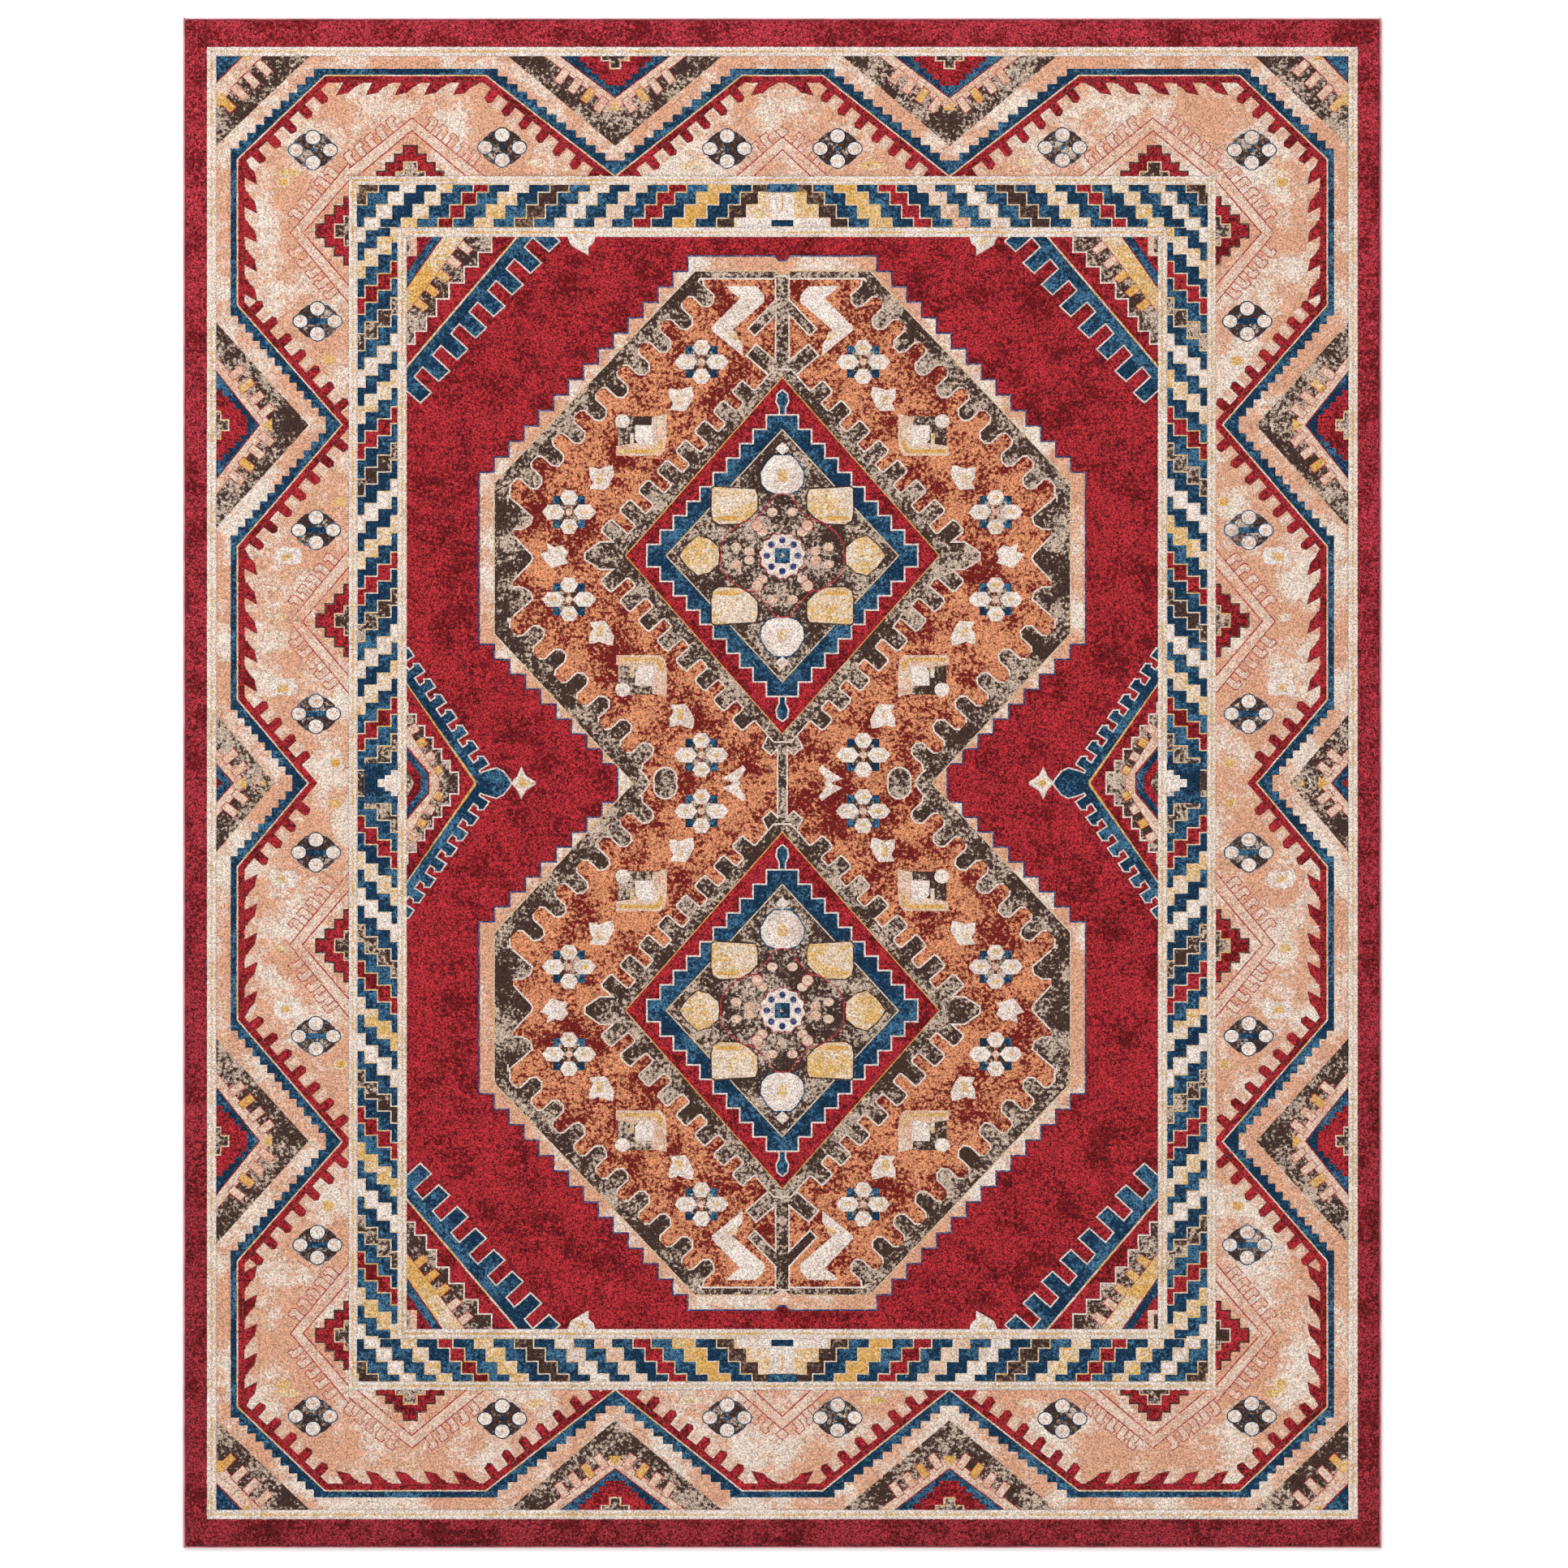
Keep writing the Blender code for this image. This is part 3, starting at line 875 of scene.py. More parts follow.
@dataclass(frozen=True)
class Pendant:
    """The half diamond on each long side of the field, with its finial and bud."""

    side: float

    def draw(self, drawing: Drawing) -> None:
        """Lay the pendant about the rug's cross line."""
        x, tip = self.side + 5, 611.0
        arm = Arm((tip, 2), (self.side + 1, 201))
        for hand in (-1, 1):
            self.comb(drawing, arm, hand, 3.0, Yarn.IVORY)
        finial = [
            (611, 14), (594, 22), (570, 29), (556, 22), (541, 2), (556, -22), (570, -29), (594, -22),
            (611, -14)
        ]
        drawing.add(outset(anticlockwise(finial), 3), Yarn.IVORY)
        for hand in (-1, 1):
            self.comb(drawing, arm, hand, 0.0, Yarn.NAVY)
        drawing.add(finial, Yarn.NAVY)
        drawing.add([(x, 206), (tip - 1, 4), (tip - 1, -4), (x, -206)], Yarn.GOLD)
        drawing.add([(x, 202), (tip + 4, 2), (tip + 4, -2), (x, -202)], Yarn.CRIMSON)
        climb = stair((x - 8, 162), (643.5, 23), 6, along_first=True)
        stepped = anticlockwise([(x, 162), *climb, *[(a, -b) for a, b in climb[::-1]], (x, -162)])
        drawing.add(stepped, Yarn.IVORY)
        drawing.add(outset(stepped, -3), Yarn.UMBER)
        for hand in (-1, 1):
            run = Arm((x, hand * 118), (686, 0))
            for index in range(4):
                along = 18 + index * 32
                tooth = [(along - 8, -3), (along + 8, -3), (along + 8, 20), (along - 8, 20)]
                drawing.add_edged(
                    [run.at(a, -hand * o) for a, o in tooth], Yarn.GOLD if index % 2 else Yarn.CREAM,
                    Yarn.MADDER, 1.5
                )
        drawing.add_edged([(x, 118), (684, 8), (684, -8), (x, -118)], Yarn.CREAM, Yarn.MADDER, 1.5)
        drawing.add([(x, 80), (703, 20), (703, -20), (x, -80)], Yarn.CRIMSON)
        drawing.add([(x, 76), (706, 18), (706, -18), (x, -76)], Yarn.NAVY)
        drawing.add([(x, 56), (720, 14), (720, -14), (x, -56)], Yarn.CRIMSON)
        drawing.add([(x, 34), (742, 18), (734, 0), (742, -18), (x, -34)], Yarn.UMBER)
        bud = [(541, 0), (529, 13), (520, 33), (511, 15), (490, 2), (511, -13), (520, -33), (529, -13)]
        drawing.add(bud, Yarn.IVORY)
        drawing.add([(530, 0), (521, 12), (510, 7), (499, 2), (510, -7), (521, -12)], Yarn.GUARD)
        drawing.add(oval((518, 0), 7, 6, 8), Yarn.GOLD)

    def comb(self, drawing: Drawing, arm: Arm, hand: int, grow: float, yarn: Yarn) -> None:
        """One arm's band and teeth, above or below the cross line."""
        band = [(-6, 0), (arm.length + 60, 0), (arm.length + 60, 17), (-6, 17)]
        outlines = [band]
        for index in range(8):
            along = 24 + index * 37.5
            hook = [
                (along - 8, 15), (along + 9, 15), (along + 9, 30), (along + 14, 33), (along + 8, 41),
                (along - 9, 41)
            ]
            outlines.append(hook)
        for local in outlines:
            points = [(px, hand * py) for px, py in arm.place(local)]
            outline = anticlockwise(points)
            drawing.add(outset(outline, grow) if grow else outline, yarn)


@dataclass(frozen=True)
class Medallion:
    """One medallion of the pair with all that lies in it, for one quarter of the rug."""

    middle: float = 453.0
    top: float = 1051.5
    top_half: float = 190.0
    flank: float = 605.5
    flank_high: float = 620.5
    flank_low: float = 274.6
    waist: float = 330.0
    outline_width: float = 3.2

    def mirrored(self, points: Iterable[Point]) -> Outline:
        """Points reflected across the medallion's own cross line."""
        return [(x, 2 * self.middle - y) for x, y in points]

    def both(self, drawing: Drawing, outline: Outline, yarn: Yarn) -> None:
        """Lay a figure in the medallion's upper half and its reflection in the lower."""
        drawing.add(outline, yarn)
        drawing.add(self.mirrored(outline), yarn)

    def edge(self) -> Outline:
        """The stepped outline, closed along the rug's long middle line."""
        upper = stair((self.top_half, self.top), (self.flank, self.flank_high), 14, along_first=True)
        lower = stair((self.flank, self.flank_low), (self.waist, 7), 9, along_first=False)
        return [
            (-20, self.top - 9), (6, self.top - 9), (14, self.top), *upper, *lower,
            (self.waist, -20), (-20, -20),
        ]

    def draw(self, drawing: Drawing) -> None:
        """Lay the medallion."""
        edge = anticlockwise(self.edge())
        drawing.add(edge, Yarn.SLATE)
        drawing.add(outset(edge, -self.outline_width), Yarn.PEACH)
        self.brown_band(drawing)
        self.stem(drawing)
        self.flowers(drawing)
        self.leaves(drawing)

    def brown_band(self, drawing: Drawing) -> None:
        """The toothed brown band and the rust ground inside it."""
        ends = ((573.0, 597.0), (573.0, 298.0))
        shape = [
            (-20, 1011), (4, 1011), (16, 1019), (174, 1019), ends[0], ends[1], (298, 2), (298, -20),
            (-20, -20),
        ]
        drawing.add(outset(anticlockwise(shape), 2.0), Yarn.GUARD)
        drawing.add(shape, Yarn.UMBER)
        inner = [
            (-20, 996), (0, 996), (14, 1003), (163, 1003), (178, 986), (541, 592), (541, 307), (274, 18),
            (262, 0), (262, -20), (-20, -20),
        ]
        drawing.add(outset(anticlockwise(inner), 3.4), Yarn.IVORY)
        drawing.add(inner, Yarn.RUST)
        teeth = [
            *self.slant_teeth(Arm(ends[0], (174, 1019)), 57.5, 62.4, 9, 24),
            *self.slant_teeth(Arm((298, 2), ends[1]), 28.6, 63.8, 6, 31)
        ]
        flank = (
            [(545, 569), (499, 529), (503, 516), (519, 507), (545, 507)],
            [(545, 501), (502, 455), (499, 448), (502, 441), (545, 395)],
            [(545, 389), (519, 389), (503, 380), (499, 367), (545, 327)],
        )
        for outline in (*teeth, *flank):
            drawing.add(outset(anticlockwise(list(outline)), 3.2), Yarn.IVORY)
        for outline in (*teeth, *flank):
            drawing.add(list(outline), Yarn.UMBER)
        drawing.add([(560, 560), (560, 330), (536, 330), (536, 560)], Yarn.UMBER)
        for arm, base in ((Arm(ends[0], (174, 1019)), 23), (Arm((298, 2), ends[1]), 30)):
            drawing.add(
                arm.place([(4, 3), (arm.length - 4, 3), (arm.length - 12, base), (12, base)]), Yarn.UMBER
            )

    def slant_teeth(self, arm: Arm, first: float, pitch: float, count: int, base: float) -> list[Outline]:
        """The rounded teeth along one slanting run of the band.

        Args:
            arm: The run's outer line, with the medallion's ground on its left.
            first: Where along it the first tooth stands.
            pitch: The distance between teeth.
            count: How many teeth there are.
            base: The band's own width.

        Returns:
            The teeth's outlines.
        """
        teeth = []
        for index in range(count):
            along = first + index * pitch
            shape = (
                (-21, base - 4), (-20, base), (-14, base + 7), (-14, base + 34), (-7, base + 43),
                (5, base + 43), (14, base + 35), (14, base + 7), (20, base), (21, base - 4),
            )
            teeth.append(arm.place([(along + a, o) for a, o in shape]))
        return teeth

    def stem(self, drawing: Drawing) -> None:
        """The branched stem from the medallion's top to its diamond, and the zigzags beside it."""
        rise = [
            (-12, 1008), (12, 1008), (12, 962), (66, 905), (55, 893), (12, 936), (12, 838), (52, 872),
            (70, 852), (24, 812), (24, 800), (-12, 800),
        ]
        drawing.add(outset(anticlockwise(rise), 3.2), Yarn.IVORY)
        drawing.add(rise, Yarn.UMBER)
        zigzag = [
            (112, 990), (52, 990), (36, 971), (36, 958), (99, 903), (79, 874), (80, 852), (140, 901),
            (141, 908), (84, 966), (99, 976),
        ]
        drawing.add(zigzag, Yarn.IVORY)
        drawing.add([(92, 900), (86, 882), (98, 884), (110, 896)], Yarn.GUARD)
        low = [(-9, 106), (26, 96), (38, 72), (22, 58), (8, 72), (8, -20), (-9, -20)]
        drawing.add(outset(anticlockwise(low), 3.2), Yarn.IVORY)
        drawing.add(low, Yarn.UMBER)
        drawing.add(
            [(79, 36), (92, 26), (120, 9), (100, 2), (79, -24), (72, -14), (88, 6), (72, 28)], Yarn.IVORY
        )
        drawing.add(oval((233, 8), 25, 25), Yarn.IVORY)
        drawing.add(oval((233, 8), 21.5, 21.5), Yarn.UMBER)

    def flowers(self, drawing: Drawing) -> None:
        """The florets, buds and stars on the rust ground."""
        for centre in ((161, 839), (425, 540), (425, 366), (161, 56)):
            x, y = centre
            for dx, dy in ((-22, 22), (22, 22), (-22, -22), (22, -22)):
                drawing.add(box((x + dx, y + dy), 10, 10), Yarn.NAVY)
                drawing.add(box((x + dx * 0.55, y + dy * 0.55), 9, 9), Yarn.UMBER)
            for dx, dy, across, along in (
                (-31, 0, 23, 17), (31, 0, 23, 17), (0, 29, 18, 17), (0, -29, 18, 17)
            ):
                petal = [
                    (across, 0), (across * 0.5, along * 0.86), (-across * 0.5, along * 0.86),
                    (-across, 0), (-across * 0.5, -along * 0.86), (across * 0.5, -along * 0.86),
                ]
                drawing.add(shifted(petal, (x + dx, y + dy)), Yarn.IVORY)
                drawing.add(oval((x + dx, y + dy), 7, 5, 8), Yarn.GUARD)
            drawing.add(oval(centre, 7, 7, 8), Yarn.CREAM)
        bud = [
            (-25, 22), (-14, 22), (-6, 18), (10, 24), (22, 26), (25, 8), (14, -14), (6, -23), (-24, -21),
            (-17, -8), (-24, 4)
        ]
        for centre, flip in (((201, 764), 1), ((360, 607), 1), ((360, 300), -1), ((200, 134.5), -1)):
            drawing.add([(centre[0] - x, centre[1] + flip * y) for x, y in bud], Yarn.IVORY)
            drawing.add(
                [
                    (centre[0] - x, centre[1] + flip * y)
                    for x, y in ((-10, 8), (2, 8), (2, -12), (-10, -12))
                ],
                Yarn.GUARD
            )
        star = [
            (30, 4), (14, 10), (18, 27), (2, 18), (-12, 22), (-26, 8), (-20, -4), (-26, -14), (-8, -18),
            (8, -24), (18, -12)
        ]
        drawing.add(shifted(star, (452, 452)), Yarn.IVORY)

    def leaves(self, drawing: Drawing) -> None:
        """The quartered leaves between the teeth and the diamond."""
        for middle, flip in (((281.5, 693), 1), ((281.0, 214), -1)):
            def lay(points: Iterable[Point]) -> Outline:
                return [(middle[0] + x, middle[1] + flip * y) for x, y in points]

            leaf = [
                (50, -41), (-38, -41), (-48, -30), (-51, -8), (-51, 42), (-22, 36), (-20, -2), (-2, -14),
                (50, -22)
            ]
            drawing.add(lay([(46, 38), (-30, 38), (-30, -24), (46, -24)]), Yarn.UMBER)
            drawing.add(lay(leaf), Yarn.CREAM)
            drawing.add(
                lay([(44, -36), (-34, -36), (-42, -26), (-44, -8), (-38, -10), (-30, -28), (44, -28)]),
                Yarn.GOLD
            )
            drawing.add(lay([(12, 20), (-24, 20), (-24, -20), (2, -20), (12, -8)]), Yarn.IVORY)
            drawing.add(oval(lay([(37, 28)])[0], 15, 14), Yarn.IVORY)
            drawing.add(lay([(36, 10), (20, 10), (20, -16), (36, -16)]), Yarn.UMBER)
            drawing.add(lay([(22, 4), (14, 4), (14, -18), (22, -18)]), Yarn.GUARD)


@dataclass(frozen=True)
class Diamond:
    """The stepped diamond in the middle of a medallion, for one quarter of the rug."""

    middle: float = 453.0
    half: Point = (311.5, 354.0)
    hooks_base: float = 22.0

    def whole(self, points: Outline) -> Outline:
        """A closed outline from the points of its upper right quarter, run from the top to the side."""
        x, y = 0.0, self.middle
        right = [(a, 2 * y - b) for a, b in points[::-1]]
        half = [*points, *right]
        return [*half, *[(2 * x - a, b) for a, b in half[::-1]]]

    def both(self, outline: Outline) -> tuple[Outline, Outline]:
        """The outline and its reflection in the diamond's cross line."""
        return outline, [(x, 2 * self.middle - y) for x, y in outline]

    def hooks(self, drawing: Drawing) -> None:
        """The hooked brown band round the diamond."""
        across, along = self.half
        side, top = (across + 2, self.middle), (0, self.middle + along + 1)
        arm = Arm(top, side)
        outlines: list[Outline] = []
        for index in range(8):
            foot = 73 + index * 54.3
            reach = 55 + index * 1.9
            shape = (
                (-19, 19), (-14, 27), (-14, reach - 2), (-9, reach), (11, reach), (14, reach - 4), (14, 27),
                (19, 19)
            )
            outlines += self.both(arm.place([(foot + a, o) for a, o in shape]))
        outlines.append([(330, 427), (362, 427), (392, 446), (392, 458), (362, 479), (330, 479)])
        band = outset(anticlockwise(self.whole([top, side])), self.hooks_base)
        for outline in (*outlines, band):
            drawing.add(outset(anticlockwise(outline), 3.2), Yarn.IVORY)
        for outline in (*outlines, band):
            drawing.add(outline, Yarn.UMBER)

    def draw(self, drawing: Drawing) -> None:
        """Lay the diamond inside its hooked band."""
        across, along = self.half
        ring = self.whole([(0, self.middle + along), (across, self.middle)])
        drawing.add(outset(anticlockwise(ring), 2.4), Yarn.GOLD)
        drawing.add(ring, Yarn.CRIMSON)
        steps = stair((33.5, 735), (271.5, 477), 9, along_first=True)
        stepped = anticlockwise(self.whole([(0, 735), *steps]))
        drop = [(0, 782), (9, 774), (11, 760), (5, 748), (5, 733), (0, 733)]
        for outline in self.both(drop):
            whole = anticlockwise([*outline, *[(-x, y) for x, y in outline[::-1]]])
            drawing.add(outset(whole, 3), Yarn.IVORY)
            drawing.add(whole, Yarn.NAVY)
        drawing.add(stepped, Yarn.IVORY)
        drawing.add(outset(stepped, -3.2), Yarn.NAVY)
        ground = anticlockwise(self.whole([(0, 706), (233, self.middle)]))
        drawing.add(ground, Yarn.GUARD)
        drawing.add(outset(ground, -2.4), Yarn.UMBER)
        self.petals(drawing)
        self.rosette(drawing)

    def petals(self, drawing: Drawing) -> None:
        """The eight petals and the small buds between the rosette and the blue steps."""
        shapes = (
            ([(16, 653), (30, 640), (43, 618), (41, 596), (30, 583), (14, 577), (0, 575), (-14, 577),
              (-30, 583), (-41, 596), (-43, 618), (-30, 640), (-16, 653)], Yarn.IVORY, Yarn.NAVY),
            ([(140, 586), (136, 590), (54, 585), (50, 572), (50, 545), (66, 528), (88, 517), (126, 516),
              (138, 524), (141, 540)], Yarn.GUARD, Yarn.BROWN),
            ([(205, 453), (190, 474), (168, 492), (146, 486), (128, 470), (126, 453), (128, 436), (146, 420),
              (168, 414), (190, 432)], Yarn.GUARD, Yarn.BROWN),
        )
        for shape, yarn, edge in shapes:
            for outline in self.both(shape):
                drawing.add_edged(outline, yarn, edge, 3.0)
        for outline in self.both([(14, 666), (0, 680), (-14, 666), (0, 653)]):
            drawing.add(outline, Yarn.IVORY)
        for outline in self.both([(132, 576), (100, 578), (104, 560), (126, 556)]):
            drawing.add(outline, Yarn.GUARD)
        for outline in self.both([(134, 530), (130, 524), (92, 522), (84, 530), (104, 533)]):
            drawing.add(outline, Yarn.GOLD)
        for outline in self.both([(10, 618), (0, 632), (-10, 618), (-8, 600), (8, 600)]):
            drawing.add(outline, Yarn.GUARD)
        drawing.add([(184, 453), (170, 474), (154, 466), (150, 453), (154, 440), (170, 432)], Yarn.GUARD)

    def rosette(self, drawing: Drawing) -> None:
        """The four-lobed heart of the diamond."""
        lobes = [(0, 576), (14, 575), (33, 548), (55, 526), (79, 520), (107, 500), (122, 477), (123, 453)]
        whole = anticlockwise(self.whole(lobes))
        drawing.add(outset(whole, 1.4), Yarn.MADDER)
        drawing.add(outset(whole, -1.4), Yarn.UMBER)
        for centre in (
            (66, 462), (66, 444), (20, 540), (40, 500), (20, 366), (40, 406), (92, 470), (92, 436)
        ):
            drawing.add(oval(centre, 11, 9, 9), Yarn.CREAM)
        for outline in self.both(oval((50, 513), 11, 11, 10)):
            drawing.add(outset(anticlockwise(outline), 1.6), Yarn.MADDER)
            drawing.add(outline, Yarn.CREAM)
        count = 12
        scallop = []
        for index in range(count * 2):
            turn = math.pi * (index + 0.5) / count
            radius = 46.0 if index % 2 == 0 else 41.0
            scallop.append((radius * math.cos(turn), self.middle + radius * math.sin(turn)))
        drawing.add(outset(anticlockwise(scallop), 1.8), Yarn.MADDER)
        drawing.add(scallop, Yarn.IVORY)
        for index in range(8):
            turn = math.pi * index / 4
            drawing.add(oval((31 * math.cos(turn), self.middle + 31 * math.sin(turn)), 7, 7, 8), Yarn.SLATE)
        drawing.add(box((0, self.middle), 15, 15), Yarn.NAVY)
        drawing.add(oval((0, self.middle), 5, 5, 8), Yarn.UMBER)


@dataclass(frozen=True)
class Zones:
    """The lines between the zones of the pile, in millimetres from the rug's middle."""

    edge_band: Point
    outer_guard: Point
    main_border: Point
    inner_guard: Point
    stepped_guard: Point
    inner_stripe: Point
    field: Point

    @classmethod
    def of_part(cls) -> "Zones":
        """The lines as the CAD part has them, halfway across the gaps between its solids."""
        lines = {}
        for zone in Zone:
            if zone.is_band or zone is Zone.FIELD:
                side, end = (zone.value,) * 2 if zone is Zone.FIELD else (
                    f"{zone.value}_right", f"{zone.value}_top"
                )
                gap = 0.0 if zone is Zone.EDGE_BAND else 0.15
                lines[zone.value] = (
                    round(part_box(side)[1].x / MM + gap, 2), round(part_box(end)[1].y / MM + gap, 2)
                )
        return cls(**lines)

    def line(self, zone: Zone) -> Point:
        """The outer line of one zone."""
        return getattr(self, zone.value)


@dataclass(frozen=True)
class RugPattern:
    """The whole pattern for one quarter of the rug, zone by zone from the edge inwards."""

    zones: Zones
    guard_line: float = 4.5

    def guard(self, drawing: Drawing, outer: Point, inner: Point) -> None:
        """A pale guard with a mottled gold line along its middle."""
        x, y = (outer[0] + inner[0]) / 2, (outer[1] + inner[1]) / 2
        half = self.guard_line / 2
        drawing.add([(-9, -9), (x + half, -9), (x + half, y + half), (-9, y + half)], Yarn.GUARD)
        drawing.add([(-9, -9), (x - half, -9), (x - half, y - half), (-9, y - half)], Yarn.IVORY)

    def ground(self, drawing: Drawing, zone: Zone, yarn: Yarn) -> None:
        """Begin a zone with its ground over all that lies inside it."""
        x, y = self.zones.line(zone)
        drawing.begin(zone, [(-9, -9), (x, -9), (x, y), (-9, y)], yarn)

    def draw(self) -> Drawing:
        """The whole quarter's drawing."""
        z, drawing = self.zones, Drawing()
        self.ground(drawing, Zone.EDGE_BAND, Yarn.EDGE)
        self.ground(drawing, Zone.OUTER_GUARD, Yarn.IVORY)
        self.guard(drawing, z.outer_guard, z.main_border)
        self.ground(drawing, Zone.MAIN_BORDER, Yarn.PEACH)
        MainBorder(z.main_border, z.inner_guard).draw(drawing)
        self.ground(drawing, Zone.INNER_GUARD, Yarn.IVORY)
        self.guard(drawing, z.inner_guard, z.stepped_guard)
        self.ground(drawing, Zone.STEPPED_GUARD, Yarn.GUARD)
        SteppedGuard(z.stepped_guard, z.inner_stripe).draw(drawing)
        self.ground(drawing, Zone.INNER_STRIPE, Yarn.IVORY)
        self.guard(drawing, z.inner_stripe, z.field)
        self.ground(drawing, Zone.FIELD, Yarn.CRIMSON)
        drawing.begin(Zone.CORNER_PIECE)
        CornerPiece(z.field).draw(drawing)
        drawing.begin(Zone.PENDANT)
        Pendant(z.field[0]).draw(drawing)
        self.middle(drawing)
        return drawing

    def middle(self, drawing: Drawing) -> None:
        """The medallion and its diamond."""
        medallion, diamond = Medallion(), Diamond()
        drawing.begin(Zone.MEDALLION)
        medallion.draw(drawing)
        diamond.hooks(drawing)
        drawing.begin(Zone.DIAMOND)
        diamond.draw(drawing)


def linear(colour: Colour) -> tuple[float, float, float, float]:
    """A display colour as the linear one that a shader reads."""
    r, g, b = (c / 12.92 if c <= 0.04045 else ((c + 0.055) / 1.055) ** 2.4 for c in colour)
    return r, g, b, 1.0


@dataclass
class NodeTree:
    """A new material's nodes, with short ways to add and join them."""

    material: bpy.types.Material

    @classmethod
    def named(cls, name: str) -> "NodeTree":
        """A tree in a new material of that name, emptied."""
        material = bpy.data.materials.new(name)
        material.use_nodes = True
        material.node_tree.nodes.clear()
        return cls(material)

    def add(self, kind: str, **settings: object) -> bpy.types.Node:
        """A new node with some of its properties set.

        Args:
            kind: The node's type name.
            settings: Its properties by name.

        Returns:
            The node.
        """
        node = self.material.node_tree.nodes.new(kind)
        for key, value in settings.items():
            setattr(node, key, value)
        return node

    def join(self, source: bpy.types.NodeSocket, target: bpy.types.NodeSocket) -> None:
        """Link one socket to another."""
        self.material.node_tree.links.new(source, target)

    def place(self, scale: tuple[float, float, float] = (1, 1, 1)) -> bpy.types.NodeSocket:
        """The object's own coordinates, stretched by a scale."""
        where = self.add("ShaderNodeTexCoord")
        mapping = self.add("ShaderNodeMapping")
        mapping.inputs["Scale"].default_value = scale
        self.join(where.outputs["Object"], mapping.inputs["Vector"])
        return mapping.outputs["Vector"]

    def noise(
        self, at: bpy.types.NodeSocket, scale: float, detail: float, rough: float = 0.5
    ) -> bpy.types.NodeSocket:
        """Noise read at a place.

        Args:
            at: Where it is read.
            scale: How many features it has to a metre.
            detail: How many octaves it has.
            rough: How strong the finer octaves are.

        Returns:
            Its value, round about a half.
        """
        node = self.add("ShaderNodeTexNoise")
        node.inputs["Scale"].default_value = scale
        node.inputs["Detail"].default_value = detail
        node.inputs["Roughness"].default_value = rough
        self.join(at, node.inputs["Vector"])
        return node.outputs["Fac"]

    def math(self, operation: str, a: object, b: object = 0.0) -> bpy.types.NodeSocket:
        """A sum on two values, each a socket or a number."""
        node = self.add("ShaderNodeMath", operation=operation)
        for socket, value in zip(node.inputs, (a, b)):
            if isinstance(value, (int, float)):
                socket.default_value = value
            else:
                self.join(value, socket)
        return node.outputs[0]

    def spread(
        self, value: bpy.types.NodeSocket, low: float, high: float, to: Point = (0.0, 1.0)
    ) -> bpy.types.NodeSocket:
        """A value taken from one range to another, and held at its ends.

        Args:
            value: What is read.
            low: What gives the lowest result.
            high: What gives the highest.
            to: The lowest and the highest result.

        Returns:
            The result.
        """
        node = self.add("ShaderNodeMapRange")
        for name, number in zip(("From Min", "From Max", "To Min", "To Max"), (low, high, *to)):
            node.inputs[name].default_value = number
        self.join(value, node.inputs["Value"])
        return node.outputs["Result"]

    def mix(self, share: object, a: object, b: object, way: str = "MIX") -> bpy.types.NodeSocket:
        """Two colours mixed.

        Args:
            share: How much of the second shows, a socket or a number.
            a: The first, a display colour or a socket.
            b: The second.
            way: How they are mixed.

        Returns:
            The mixed colour.
        """
        node = self.add("ShaderNodeMix", data_type="RGBA", blend_type=way)
        if isinstance(share, float):
            node.inputs["Factor"].default_value = share
        else:
            self.join(share, node.inputs["Factor"])
        for socket, value in zip((node.inputs[6], node.inputs[7]), (a, b)):
            if isinstance(value, tuple):
                socket.default_value = linear(value)
            else:
                self.join(value, socket)
        return node.outputs[2]

    def shade(
        self, colour: bpy.types.NodeSocket, height: bpy.types.NodeSocket, strength: float, distance: float
    ) -> bpy.types.Node:
        """The surface, with its colour and its relief joined in.

        Args:
            colour: Its colour.
            height: Its relief.
            strength: How strong the relief is.
            distance: How deep it is, in metres.

        Returns:
            The surface's own node, for its other values.
        """
        bump = self.add("ShaderNodeBump")
        bump.inputs["Strength"].default_value = strength
        bump.inputs["Distance"].default_value = distance
        self.join(height, bump.inputs["Height"])
        surface = self.add("ShaderNodeBsdfPrincipled")
        self.join(colour, surface.inputs["Base Color"])
        self.join(bump.outputs["Normal"], surface.inputs["Normal"])
        output = self.add("ShaderNodeOutputMaterial")
        self.join(surface.outputs["BSDF"], output.inputs["Surface"])
        return surface


